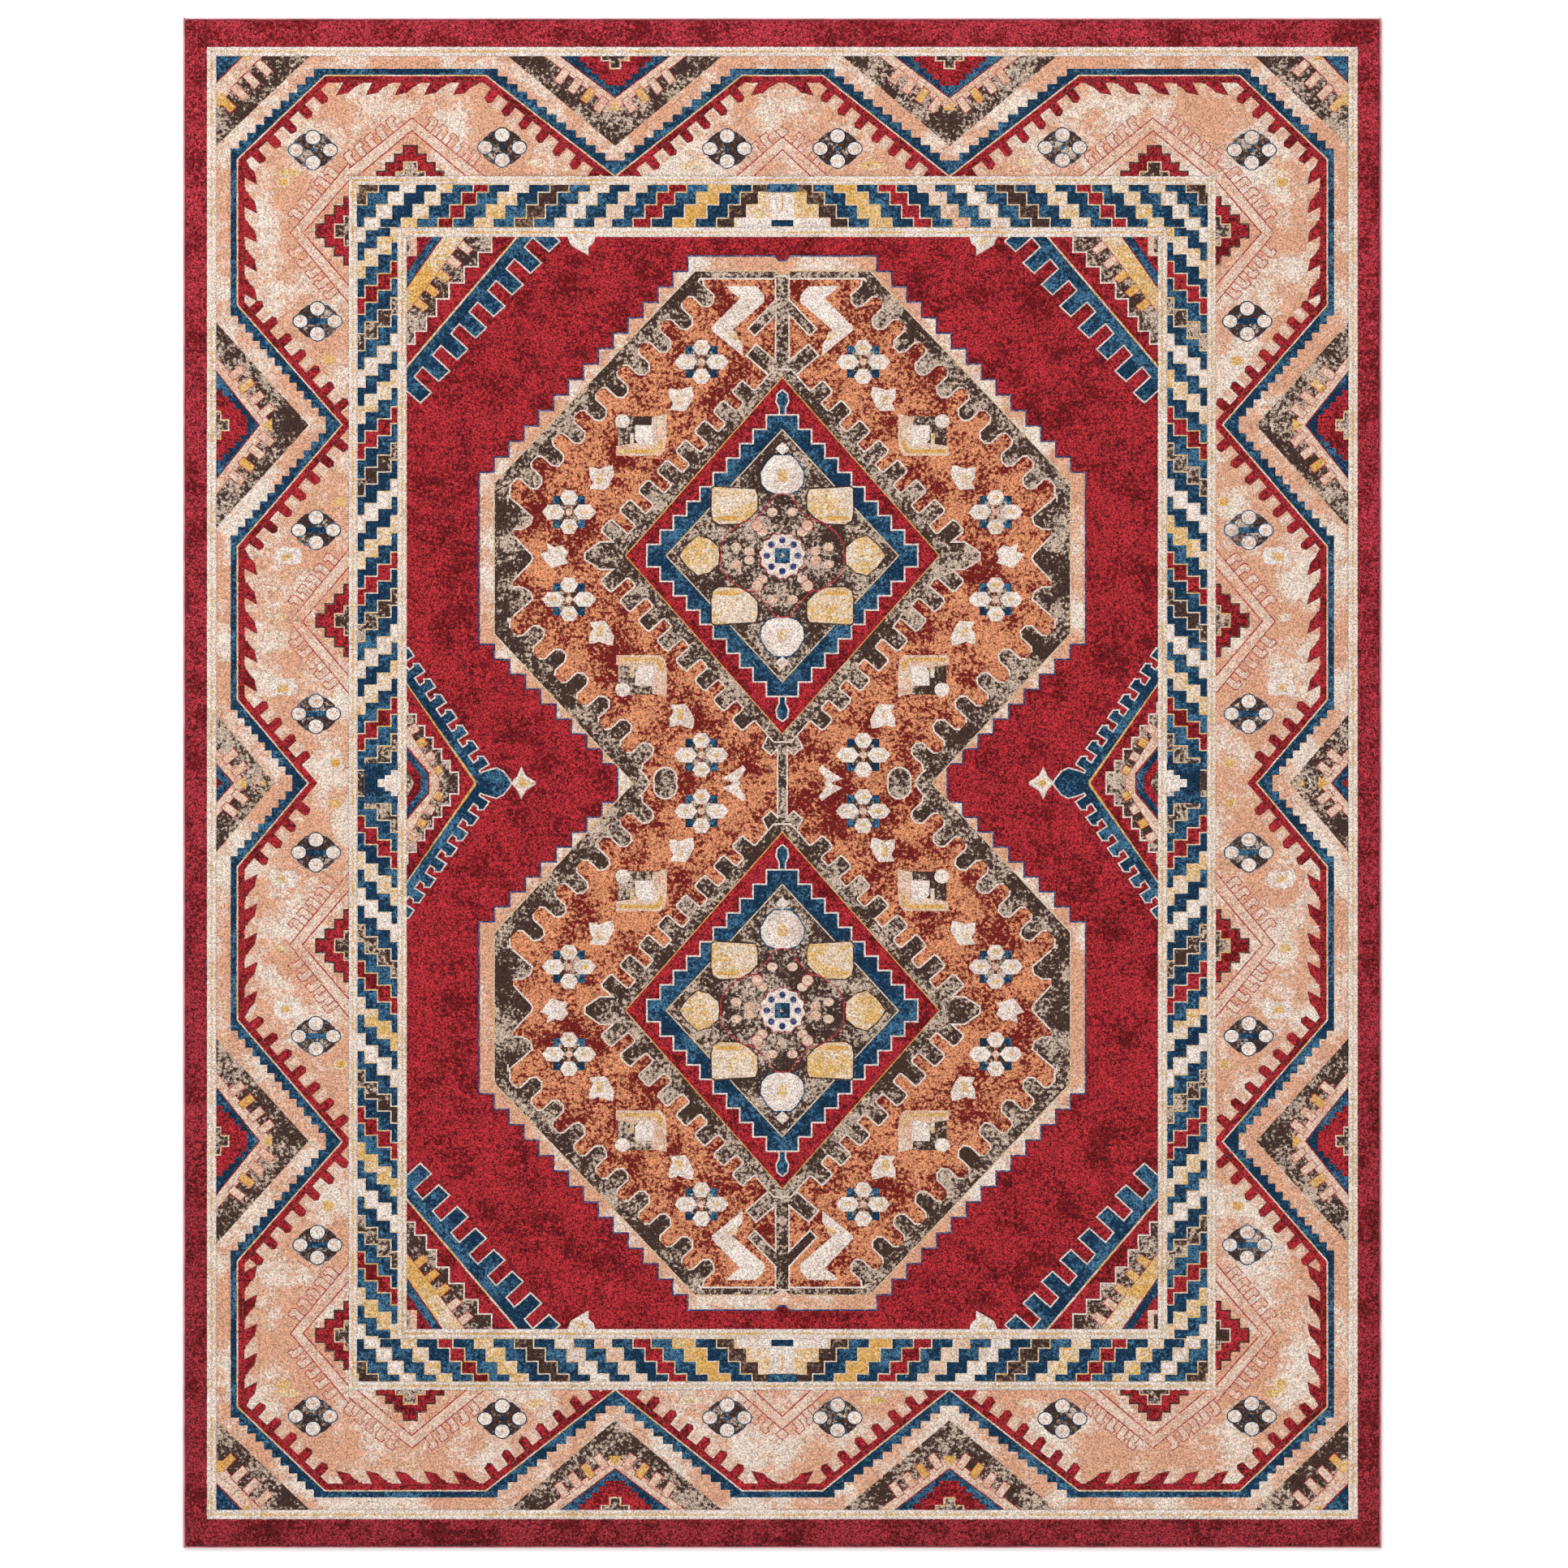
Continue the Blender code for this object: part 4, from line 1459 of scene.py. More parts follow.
@dataclass(frozen=True)
class YarnFinish:
    """A cut-pile yarn, washed so that a second tone shows through in blotches and single tufts."""

    name: str
    tone: Colour
    second: Colour
    share: float
    blotch: float = 0.5
    tuft: float = 0.35
    softness: float = 0.05
    blotch_scale: float = 13.0
    # How far each tuft's brightness spreads about its mean: the yarn's own tone from tuft to tuft, together
    # with painted shade between the tufts and painted sheen on their tips.
    speckle: float = 0.9
    # How much the colour is painted lighter towards the rug's top end and darker towards its bottom end:
    # painted sheen and shade of the pile's lay.
    painted_sheen_slope: float = 0.0
    # The tufts' mean brightness, below one: painted shade in the hollows between the tufts.
    depth: float = 0.78
    clump_scale: float = 150.0
    streak_scale: float = 70.0
    tuft_scale: float = 400.0
    tip_scale: float = 420.0
    relief: float = 0.55
    relief_depth: float = 0.0022

    def material(self) -> bpy.types.Material:
        """The finish as a material."""
        tree = NodeTree.named(self.name)
        at = tree.place()
        clumps = tree.noise(at, self.clump_scale, 3.0, 0.7)
        blotches = tree.noise(at, self.blotch_scale, 5.0, 0.62)
        streaks = tree.noise(tree.place((0.12, 1.0, 1.0)), self.streak_scale, 2.0)
        streak = 1.0 - self.blotch - self.tuft
        mottle = tree.math(
            "ADD", tree.math("MULTIPLY", blotches, self.blotch), tree.math("MULTIPLY", clumps, self.tuft)
        )
        mottle = tree.math("ADD", mottle, tree.math("MULTIPLY", streaks, streak))
        edge = 0.5 + (0.5 - self.share) * 0.28
        tone_blend = tree.spread(mottle, edge - self.softness, edge + self.softness)
        colour = tree.mix(tone_blend, self.tone, self.second)
        tufts = tree.noise(at, self.tuft_scale, 1.0, 0.6)
        # Each tuft's brightness follows the noise of its relief. It is partly the yarn's own tone, partly
        # painted shade in the hollows between the tufts and painted sheen on their tips.
        grain = tree.spread(tufts, 0.24, 0.76, (self.depth - self.speckle, self.depth + self.speckle))
        # Painted sheen and shade of the pile's lay: the colour grows lighter towards +Y, the rug's top end,
        # and darker towards its bottom end.
        if self.painted_sheen_slope:
            along = tree.add("ShaderNodeSeparateXYZ")
            tree.join(at, along.inputs["Vector"])
            shade = tree.spread(along.outputs["Y"], -1.5, 1.5, (1.0 - self.painted_sheen_slope, 1.0 + self.painted_sheen_slope))
            grain = tree.math("MULTIPLY", grain, shade)
        grey = tree.add("ShaderNodeCombineColor")
        for socket in grey.inputs[:3]:
            tree.join(grain, socket)
        colour = tree.mix(1.0, colour, grey.outputs["Color"], "MULTIPLY")
        tips = tree.add("ShaderNodeTexVoronoi")
        tips.inputs["Scale"].default_value = self.tip_scale
        tree.join(at, tips.inputs["Vector"])
        height = tree.math("SUBTRACT", tufts, tree.math("MULTIPLY", tips.outputs["Distance"], 0.5))
        surface = tree.shade(colour, height, self.relief, self.relief_depth)
        surface.inputs["Roughness"].default_value = 0.9
        surface.inputs["Specular IOR Level"].default_value = 0.2
        surface.inputs["Sheen Weight"].default_value = 0.06
        surface.inputs["Sheen Roughness"].default_value = 0.4
        return tree.material


YARN_FINISHES: dict[Yarn, YarnFinish] = {
    Yarn.CRIMSON: YarnFinish(
        "crimson_pile", (0.66, 0.145, 0.18), (0.41, 0.03, 0.06), 0.41, 0.40, 0.50, 0.03, speckle=1.15
    ),
    Yarn.MADDER: YarnFinish("madder_pile", (0.68, 0.18, 0.22), (0.82, 0.55, 0.50), 0.35, 0.3, 0.6, 0.05),
    Yarn.NAVY: YarnFinish(
        "navy_pile", (0.035, 0.18, 0.29), (0.25, 0.42, 0.54), 0.42, 0.45, 0.45, 0.04, speckle=1.1
    ),
    Yarn.BROWN: YarnFinish(
        "dark_brown_pile", (0.25, 0.165, 0.14), (0.56, 0.45, 0.39), 0.32, 0.35, 0.6, 0.03, speckle=0.9
    ),
    Yarn.UMBER: YarnFinish(
        "brown_heather_pile", (0.26, 0.175, 0.145), (0.78, 0.69, 0.62), 0.43, 0.46, 0.50, 0.022, speckle=0.7
    ),
    Yarn.RUST: YarnFinish(
        "rust_pile", (0.85, 0.56, 0.40), (0.45, 0.09, 0.08), 0.48, 0.42, 0.50, 0.022, speckle=0.75
    ),
    Yarn.IVORY: YarnFinish(
        "ivory_pile", (0.94, 0.88, 0.84), (0.84, 0.74, 0.68), 0.35, 0.4, 0.5, 0.06, speckle=0.55
    ),
    Yarn.CREAM: YarnFinish(
        "cream_pile", (0.90, 0.79, 0.71), (0.86, 0.65, 0.54), 0.42, 0.4, 0.5, 0.05, speckle=0.55
    ),
    Yarn.GOLD: YarnFinish(
        "gold_pile", (0.86, 0.65, 0.33), (0.89, 0.76, 0.58), 0.36, 0.4, 0.5, 0.06, speckle=0.55
    ),
    Yarn.PEACH: YarnFinish(
        "peach_pile", (0.86, 0.64, 0.52), (0.92, 0.85, 0.79), 0.42, 0.66, 0.28, 0.04, 8.0, speckle=0.55
    ),
    Yarn.SLATE: YarnFinish("slate_pile", (0.16, 0.22, 0.42), (0.50, 0.48, 0.60), 0.4, 0.2, 0.7, 0.05),
    Yarn.GUARD: YarnFinish(
        "gold_and_ivory_pile", (0.91, 0.83, 0.76), (0.87, 0.69, 0.40), 0.48, 0.4, 0.5, 0.05, speckle=0.55
    ),
    # The edge band's crimson, painted lighter towards the rug's top end and darker towards its bottom end as
    # painted sheen and shade of the pile's lay.
    Yarn.EDGE: YarnFinish(
        "edge_crimson_pile", (0.64, 0.175, 0.22), (0.41, 0.04, 0.07), 0.44, 0.40, 0.50, 0.035, speckle=1.15,
        painted_sheen_slope=0.17
    ),
}


@dataclass(frozen=True)
class BindingFinish:
    """The coral yarn of the stitched edge, with its plies running round each stitch."""

    tone: Colour = (0.86, 0.50, 0.52)
    shadow: Colour = (0.66, 0.30, 0.34)

    def material(self) -> bpy.types.Material:
        """The finish as a material."""
        tree = NodeTree.named("coral_binding_yarn")
        at = tree.place()
        fibres = tree.noise(at, 900.0, 3.0, 0.6)
        patches = tree.noise(at, 25.0, 3.0)
        tone_blend = tree.spread(
            tree.math("ADD", tree.math("MULTIPLY", fibres, 0.5), tree.math("MULTIPLY", patches, 0.5)), 0.42,
            0.6
        )
        # The shadow tone is painted shade: it shows where the fibres' relief is low, and in larger patches.
        colour = tree.mix(tone_blend, self.shadow, self.tone)
        surface = tree.shade(colour, fibres, 0.5, 0.0008)
        surface.inputs["Roughness"].default_value = 0.75
        surface.inputs["Sheen Weight"].default_value = 0.2
        return tree.material


@dataclass(frozen=True)
class WeaveFinish:
    """A woven cloth, its threads crossing over and under each other."""

    name: str
    tone: Colour
    second: Colour
    pitch: float = 0.004

    def material(self) -> bpy.types.Material:
        """The finish as a material."""
        tree = NodeTree.named(self.name)
        at = tree.place()
        waves = []
        for direction in ("X", "Y"):
            wave = tree.add("ShaderNodeTexWave", wave_type="BANDS", bands_direction=direction)
            wave.inputs["Scale"].default_value = 0.314 / self.pitch
            wave.inputs["Distortion"].default_value = 0.6
            wave.inputs["Detail"].default_value = 1.0
            tree.join(at, wave.inputs["Vector"])
            waves.append(wave.outputs["Fac"])
        weave = tree.math("MULTIPLY", waves[0], waves[1])
        fibres = tree.noise(at, 600.0, 3.0, 0.6)
        patches = tree.noise(at, 7.0, 3.0)
        mottle = tree.math(
            "ADD", tree.math("MULTIPLY", weave, 0.5),
            tree.math("MULTIPLY", tree.math("ADD", fibres, patches), 0.3)
        )
        colour = tree.mix(tree.spread(mottle, 0.2, 0.75), self.second, self.tone)
        surface = tree.shade(colour, tree.math("ADD", weave, tree.math("MULTIPLY", fibres, 0.4)), 0.6, 0.0012)
        surface.inputs["Roughness"].default_value = 0.9
        return tree.material


BACK_FINISH = WeaveFinish("size_coated_back", (0.80, 0.74, 0.66), (0.52, 0.45, 0.38), 0.008)
GROUND_FINISH = WeaveFinish("ground_weave_cotton", (0.82, 0.78, 0.70), (0.60, 0.54, 0.46), 0.003)


@dataclass(frozen=True)
class FloorFinish:
    """The plain pale floor."""

    tone: Colour = (0.985, 0.985, 0.985)

    def material(self) -> bpy.types.Material:
        """The finish as a material."""
        tree = NodeTree.named("pale_floor")
        grain = tree.noise(tree.place(), 3.0, 2.0)
        colour = tree.mix(tree.spread(grain, 0.3, 0.7), self.tone, (0.98, 0.98, 0.98))
        surface = tree.shade(colour, grain, 0.02, 0.001)
        surface.inputs["Roughness"].default_value = 0.8
        surface.inputs["Specular IOR Level"].default_value = 0.1
        return tree.material


def finished(
    name: str, vertices: np.ndarray, faces: np.ndarray, slots: list[bpy.types.Material], which: np.ndarray
) -> bpy.types.Object:
    """A new object from triangles, each with its own material.

    Args:
        name: The object's name.
        vertices: Its vertices, in metres.
        faces: Its triangles.
        slots: Its materials.
        which: Each triangle's place among them.

    Returns:
        The object, in the scene.
    """
    mesh = bpy.data.meshes.new(name)
    mesh.vertices.add(len(vertices))
    mesh.vertices.foreach_set("co", vertices.astype(np.float32).ravel())
    mesh.loops.add(len(faces) * 3)
    mesh.loops.foreach_set("vertex_index", faces.astype(np.int32).ravel())
    mesh.polygons.add(len(faces))
    mesh.polygons.foreach_set("loop_start", np.arange(0, len(faces) * 3, 3, dtype=np.int32))
    mesh.polygons.foreach_set("material_index", which.astype(np.int32))
    for material in slots:
        mesh.materials.append(material)
    mesh.update()
    mesh.validate()
    made = bpy.data.objects.new(name, mesh)
    bpy.context.scene.collection.objects.link(made)
    return made


@dataclass
class PileCloth:
    """The quarter's pattern as triangles, each with its zone and its yarn."""

    points: np.ndarray
    triangles: np.ndarray
    zone: np.ndarray
    yarn: np.ndarray


@dataclass(frozen=True)
class PileMaker:
    """Cuts the drawn quarter into triangles and raises them into the pile."""

    extent: Point
    seeds: tuple[int, ...] = (1, 2, 3, 4, 5, 6, 7, 8)
    edge_step: float = 4.5
    edge_wander: float = 0.8
    grid: float = 6.5
    grid_wander: float = 1.6
    closeness: float = 0.01  # points nearer than this are joined
    spread_share: float = 0.25  # how far an outline may cover more or less than its own area
    spread_area: float = 60.0

    def loop(self, outline: Iterable[Point], straight: bool) -> list[Vector]:
        """An outline with points close enough to show the tufts along it.

        Args:
            outline: The outline's corners.
            straight: Whether it stays exactly straight, as at the pile's rim.

        Returns:
            Its points.
        """
        corners = list(outline)
        points = []
        for a, b in zip(corners, corners[1:] + corners[:1]):
            count = max(1, int(math.dist(a, b) / self.edge_step))
            for index in range(count):
                x = a[0] + (b[0] - a[0]) * index / count
                y = a[1] + (b[1] - a[1]) * index / count
                wander = Vector((0, 0, 0)) if straight else noise.noise_vector(
                    Vector((x * 0.45, y * 0.45, 0))
                )
                points.append(Vector((x + self.edge_wander * wander.x, y + self.edge_wander * wander.y)))
        return points

    def scattered(self, drawing: Drawing) -> tuple[list[Vector], list[list[int]]]:
        """The points to cut between: those along the outlines and those of the tufts' grid.

        Args:
            drawing: The quarter's figures.

        Returns:
            The points, and the points of each outline; the first outline is the quarter's own.
        """
        wide, long = self.extent
        frame = [(0.0, 0.0), (wide, 0.0), (wide, long), (0.0, long)]
        points: list[Vector] = []
        loops: list[list[int]] = []
        for index, outline in enumerate([frame, *[figure.outline for figure in drawing.figures]]):
            loop = self.loop(outline, straight=index == 0)
            loops.append(list(range(len(points), len(points) + len(loop))))
            points += loop
        for row in range(1, int(long / self.grid)):
            for column in range(1, int(wide / self.grid)):
                x, y = (column + 0.5 * (row % 2)) * self.grid, row * self.grid
                wander = noise.noise_vector(Vector((x * 0.3, y * 0.3, 3)))
                x, y = x + self.grid_wander * wander.x, y + self.grid_wander * wander.y
                if 1 < x < wide - 1 and 1 < y < long - 1:
                    points.append(Vector((x, y)))
        return points, loops

    def cut(self, drawing: Drawing) -> PileCloth:
        """Cut the drawing into triangles.

        The wander of the outlines follows a fixed seed; the next one is used if a cut isn't all triangles.

        Args:
            drawing: The quarter's figures.

        Returns:
            The triangles, with each one's zone and yarn.
        """
        for seed in self.seeds:
            noise.seed_set(seed)
            points, loops = self.scattered(drawing)
            cut = delaunay_2d_cdt(points, [], loops, 1, self.closeness, True)
            if all(len(face) == 3 for face in cut[2]):
                break
            log.info("the cut with seed %d isn't all triangles", seed)
        flat = np.array([(p.x, p.y) for p in cut[0]])
        flat[np.abs(flat) < 1e-3] = 0.0
        triangles = np.array([face for face in cut[2] if len(face) == 3])
        covers = [set(under) for face, under in zip(cut[2], cut[5]) if len(face) == 3]
        self.mend(
            covers, flat[triangles],
            [np.array([(points[i].x, points[i].y) for i in loop]) for loop in loops]
        )
        return self.sorted_out(drawing, flat, triangles, covers)

    def mend(self, covers: list[set[int]], corners: np.ndarray, outlines: list[np.ndarray]) -> None:
        """Test afresh every outline that the cut has spread beyond its own area.

        Args:
            covers: The outlines over each triangle, mended in place.
            corners: The triangles' corners.
            outlines: The outlines.
        """
        a, b, c = corners[:, 0], corners[:, 1], corners[:, 2]
        sizes = ((b[:, 0] - a[:, 0]) * (c[:, 1] - a[:, 1]) - (b[:, 1] - a[:, 1]) * (c[:, 0] - a[:, 0])) / 2
        covered = np.zeros(len(outlines))
        for size, under in zip(sizes, covers):
            for index in under:
                covered[index] += size
        middles = corners.mean(axis=1)
        for index, outline in enumerate(outlines):
            own = abs(area([tuple(point) for point in outline]))
            if abs(covered[index] - own) > self.spread_share * own + self.spread_area:
                log.info("outline %d is tested afresh", index)
                inside = self.inside(outline, middles)
                for under, held in zip(covers, inside):
                    under.discard(index)
                    if held:
                        under.add(index)

    def inside(self, outline: np.ndarray, spots: np.ndarray) -> np.ndarray:
        """Whether each spot is within an outline, by how often a line from it crosses the outline."""
        held = np.zeros(len(spots), bool)
        low, high = outline.min(axis=0), outline.max(axis=0)
        near = np.nonzero(((spots > low) & (spots < high)).all(axis=1))[0]
        x, y = spots[near].T
        within = np.zeros(len(near), bool)
        for (ax, ay), (bx, by) in zip(outline, np.roll(outline, -1, axis=0)):
            if ay != by:
                within ^= ((ay > y) != (by > y)) & (x < (bx - ax) * (y - ay) / (by - ay) + ax)
        held[near] = within
        return held

    def sorted_out(
        self, drawing: Drawing, flat: np.ndarray, triangles: np.ndarray, covers: list[set[int]]
    ) -> PileCloth:
        """Give every triangle inside the quarter the zone and the yarn of its topmost figure.

        Args:
            drawing: The quarter's figures.
            flat: The cut's points.
            triangles: Its triangles.
            covers: The outlines over each triangle; the first is the quarter's own.

        Returns:
            The cloth.
        """
        zones, yarns = list(Zone), list(Yarn)
        kept, zone, yarn = [], [], []
        for triangle, under in zip(triangles, covers):
            if 0 not in under:
                continue
            shown = [drawing.figures[index - 1] for index in sorted(under - {0}, reverse=True)]
            clipped = [figure for figure in shown if drawing.clips[figure.zone] + 1 in under]
            figure = clipped[0] if clipped else drawing.figures[0]
            kept.append(triangle)
            zone.append(zones.index(figure.zone))
            yarn.append(yarns.index(figure.yarn))
        return PileCloth(flat, np.array(kept), np.array(zone), np.array(yarn))


@dataclass(frozen=True)
class Pile:
    """The pile: one solid for each zone of the CAD part, standing on the ground weave."""

    foot: float
    top: float
    zones: "Zones"
    groove: float = 0.0009
    ripple: float = 0.0005

    def heights(self, cloth: PileCloth) -> np.ndarray:
        """How high each point of the cloth stands, lower where two yarns meet."""
        high = np.empty(len(cloth.points))
        for index, (x, y) in enumerate(cloth.points):
            high[index] = noise.noise(Vector((x * 0.11, y * 0.11, 7.0)))
        lowest = np.full(len(cloth.points), 10_000)
        highest = np.full(len(cloth.points), -1)
        for corner in range(3):
            np.minimum.at(lowest, cloth.triangles[:, corner], cloth.yarn)
            np.maximum.at(highest, cloth.triangles[:, corner], cloth.yarn)
        return self.top - self.ripple * (0.5 + 0.5 * high) - self.groove * (lowest != highest)

    def runs(self, cloth: PileCloth) -> np.ndarray:
        """Whether each triangle is nearer the rug's end than its long side, across the mitre of its band."""
        middle = cloth.points[cloth.triangles].mean(axis=1)
        end = np.zeros(len(middle), bool)
        order = [zone for zone in Zone if zone.is_band]
        for zone, inner in zip(order, order[1:] + [Zone.FIELD]):
            outer_line, inner_line = self.zones.line(zone), self.zones.line(inner)
            across = (middle[:, 0] - inner_line[0]) / (outer_line[0] - inner_line[0])
            along = (middle[:, 1] - inner_line[1]) / (outer_line[1] - inner_line[1])
            at = cloth.zone == list(Zone).index(zone)
            end[at] = (along > across)[at]
        return end

    def build(self, cloth: PileCloth, finishes: list[bpy.types.Material]) -> list[bpy.types.Object]:
        """Make every zone's solids.

        Args:
            cloth: The quarter's triangles.
            finishes: The yarns' materials, in the order of the yarns.

        Returns:
            The solids.
        """
        high, end = self.heights(cloth), self.runs(cloth)
        pieces = []
        for number, zone in enumerate(Zone):
            for part in zone.parts:
                chosen = cloth.zone == number
                if zone.is_band:
                    chosen &= end if part.name in ("top", "bottom") else ~end
                node = part.node(zone)
                piece = self.solid(f"{node}_pile", cloth, high, np.nonzero(chosen)[0], part.flips, finishes)
                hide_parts(node)
                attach(piece, "root")
                pieces.append(piece)
                log.info("%s: %d triangles", piece.name, len(piece.data.polygons))
        return pieces

    def solid(
        self, name: str, cloth: PileCloth, high: np.ndarray, chosen: np.ndarray, flips: tuple[Point, ...],
        finishes: list[bpy.types.Material]
    ) -> bpy.types.Object:
        """One closed solid from chosen triangles and their mirror images.

        Args:
            name: Its name.
            cloth: The quarter's triangles.
            high: The height of the cloth's points.
            chosen: Which triangles it has.
            flips: The signs of X and Y for each quarter that it covers.
            finishes: The yarns' materials.

        Returns:
            The solid.
        """
        used, local = np.unique(cloth.triangles[chosen], return_inverse=True)
        local = local.reshape(-1, 3)
        spots, faces, yarns = [], [], []
        for sign_x, sign_y in flips:
            spot = np.column_stack([cloth.points[used] * (sign_x * MM, sign_y * MM), high[used]])
            faces.append((local if sign_x * sign_y > 0 else local[:, ::-1]) + len(used) * len(spots))
            yarns.append(cloth.yarn[chosen])
            spots.append(spot)
        points, faces, yarns = np.concatenate(spots), np.concatenate(faces), np.concatenate(yarns)
        _, first, index = np.unique(
            np.round(points[:, :2] / 1e-6).astype(np.int64), axis=0, return_index=True, return_inverse=True
        )
        points, faces = points[first], index.reshape(-1)[faces]
        whole = (faces != np.roll(faces, 1, axis=1)).all(axis=1)
        return self.closed(name, points, faces[whole], yarns[whole], finishes)

    def closed(
        self, name: str, points: np.ndarray, faces: np.ndarray, yarns: np.ndarray,
        finishes: list[bpy.types.Material]
    ) -> bpy.types.Object:
        """The top's triangles closed with walls and a flat foot.

        Args:
            name: The solid's name.
            points: The top's points.
            faces: Its triangles.
            yarns: Their yarns.
            finishes: The yarns' materials.

        Returns:
            The solid.
        """
        edges = np.concatenate([faces[:, [0, 1]], faces[:, [1, 2]], faces[:, [2, 0]]])
        owner = np.tile(np.arange(len(faces)), 3)
        _, index, count = np.unique(np.sort(edges, axis=1), axis=0, return_inverse=True, return_counts=True)
        rim = count[index.reshape(-1)] == 1
        rim_edges, rim_yarns = edges[rim], yarns[owner[rim]]
        rim_points, low = np.unique(rim_edges, return_inverse=True)
        low = low.reshape(-1, 2) + len(points)
        feet = points[rim_points].copy()
        bottom = self.foot_faces(feet, low - len(points))
        if bottom is None:
            feet, low, bottom = points.copy(), rim_edges + len(points), faces[:, ::-1]
        bottom = bottom + len(points)
        feet[:, 2] = self.foot
        walls = np.concatenate([
            np.column_stack([rim_edges[:, 1], rim_edges[:, 0], low[:, 0]]),
            np.column_stack([rim_edges[:, 1], low[:, 0], low[:, 1]]),
        ])
        all_points = np.concatenate([points, feet])
        all_faces = np.concatenate([faces, walls, bottom])
        all_yarns = np.concatenate([yarns, rim_yarns, rim_yarns, np.full(len(bottom), rim_yarns[0])])
        present, which = np.unique(all_yarns, return_inverse=True)
        return finished(name, all_points, all_faces, [finishes[i] for i in present], which)

    def foot_faces(self, feet: np.ndarray, rim: np.ndarray) -> np.ndarray | None:
        """Triangles that close a solid's foot, facing down, or None if they leave a gap.

        Args:
            feet: The points along the foot's rim.
            rim: The rim's edges.

        Returns:
            The triangles.
        """
        flat = bmesh.new()
        spots = [flat.verts.new(point) for point in feet]
        edges = [flat.edges.new((spots[a], spots[b])) for a, b in rim]
        for index, spot in enumerate(spots):
            spot.index = index
        bmesh.ops.triangle_fill(flat, edges=edges, use_beauty=False, use_dissolve=False, normal=(0, 0, -1))
        found = []
        for face in flat.faces:
            corners = [spot.index for spot in face.verts]
            a, b, c = (feet[i][:2] for i in corners)
            turns = (b[0] - a[0]) * (c[1] - a[1]) - (b[1] - a[1]) * (c[0] - a[0])
            found.append(corners if turns < 0 else corners[::-1])
        flat.free()
        if not found:
            return None
        made = np.array(found, dtype=np.int64)
        ends = np.sort(np.concatenate([made[:, [0, 1]], made[:, [1, 2]], made[:, [2, 0]]]), axis=1)
        _, count = np.unique(ends, axis=0, return_counts=True)
        return made if (count == 1).sum() == len(rim) and count.max() == 2 else None


def deselected() -> None:
    """Leave nothing selected, so that an operator works only on what is made next."""
    bpy.ops.object.select_all(action="DESELECT")


def closing(
    piece: bpy.types.Object, material: bpy.types.Material, slot: str, *nodes: str
) -> bpy.types.Object:
    """Dress a finished piece and hide the CAD nodes that it stands for.

    Args:
        piece: The piece.
        material: Its finish.
        slot: The record's slot that the finish belongs to; not used.
        nodes: The CAD nodes that it stands for.

    Returns:
        The piece.
    """
    piece.data.materials.clear()
    piece.data.materials.append(material)
    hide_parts(*nodes)
    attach(piece, "root")
    log.info("%s: %d faces", piece.name, len(piece.data.polygons))
    return piece


def applied(piece: bpy.types.Object) -> None:
    """Put the object at the origin, with its place, turn and scale in its mesh."""
    bpy.ops.object.transform_apply(location=True, rotation=True, scale=True)
    piece.select_set(False)


@dataclass(frozen=True)
class GroundWeave:
    """The woven cloth that the tufts stand on."""

    material: bpy.types.Material

    def build(self) -> bpy.types.Object:
        """Make the cloth as one closed sheet with a rolled edge."""
        low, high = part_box("ground_weave")
        deselected()
        bpy.ops.mesh.primitive_cube_add(size=1, location=(low + high) / 2, scale=high - low)
        piece = bpy.context.object
        piece.name = piece.data.name = "ground_weave_cloth"
        applied(piece)
        piece.select_set(True)
        bpy.ops.object.mode_set(mode="EDIT")
        bpy.ops.mesh.select_all(action="SELECT")
        bpy.ops.mesh.bevel(offset=(high.z - low.z) * 0.3, segments=2)
        bpy.ops.object.mode_set(mode="OBJECT")
        piece.select_set(False)
        return closing(piece, self.material, "ground_weave", "ground_weave")


@dataclass(frozen=True)
class BackSize:
    """The ribbed back, with the weft's ribs across the rug under their coat of size."""

    material: bpy.types.Material
    rib: float = 0.008
    depth: float = 0.00035
    columns: int = 24

    def build(self) -> bpy.types.Object:
        """Make the back as a closed sheet whose underside is ribbed."""
        low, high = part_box("back_size")
        rows = round((high.y - low.y) / self.rib) * 4
        deselected()
        bpy.ops.mesh.primitive_grid_add(
            x_subdivisions=self.columns, y_subdivisions=rows, size=1,
            location=((low.x + high.x) / 2, (low.y + high.y) / 2, low.z),
        )
        piece = bpy.context.object
        piece.scale = (high.x - low.x, high.y - low.y, 1)
        piece.name = piece.data.name = "woven_back"
        applied(piece)
        piece.select_set(True)
        bpy.ops.object.mode_set(mode="EDIT")
        bpy.ops.mesh.select_all(action="SELECT")
        bpy.ops.mesh.extrude_region_move(TRANSFORM_OT_translate={"value": (0, 0, high.z - low.z)})
        bpy.ops.mesh.select_all(action="SELECT")
        bpy.ops.mesh.normals_make_consistent(inside=False)
        bpy.ops.object.mode_set(mode="OBJECT")
        under = (low.z + high.z) / 2
        for vertex in piece.data.vertices:
            if vertex.co.z < under:
                turn = math.tau * (vertex.co.y - low.y) / self.rib
                lean = 0.4 * noise.noise(Vector((vertex.co.x * 9, vertex.co.y * 9, 0)))
                vertex.co.z += self.depth * (0.5 - 0.5 * math.cos(turn + lean))
        piece.select_set(False)
        return closing(piece, self.material, "back_size", "back_size")


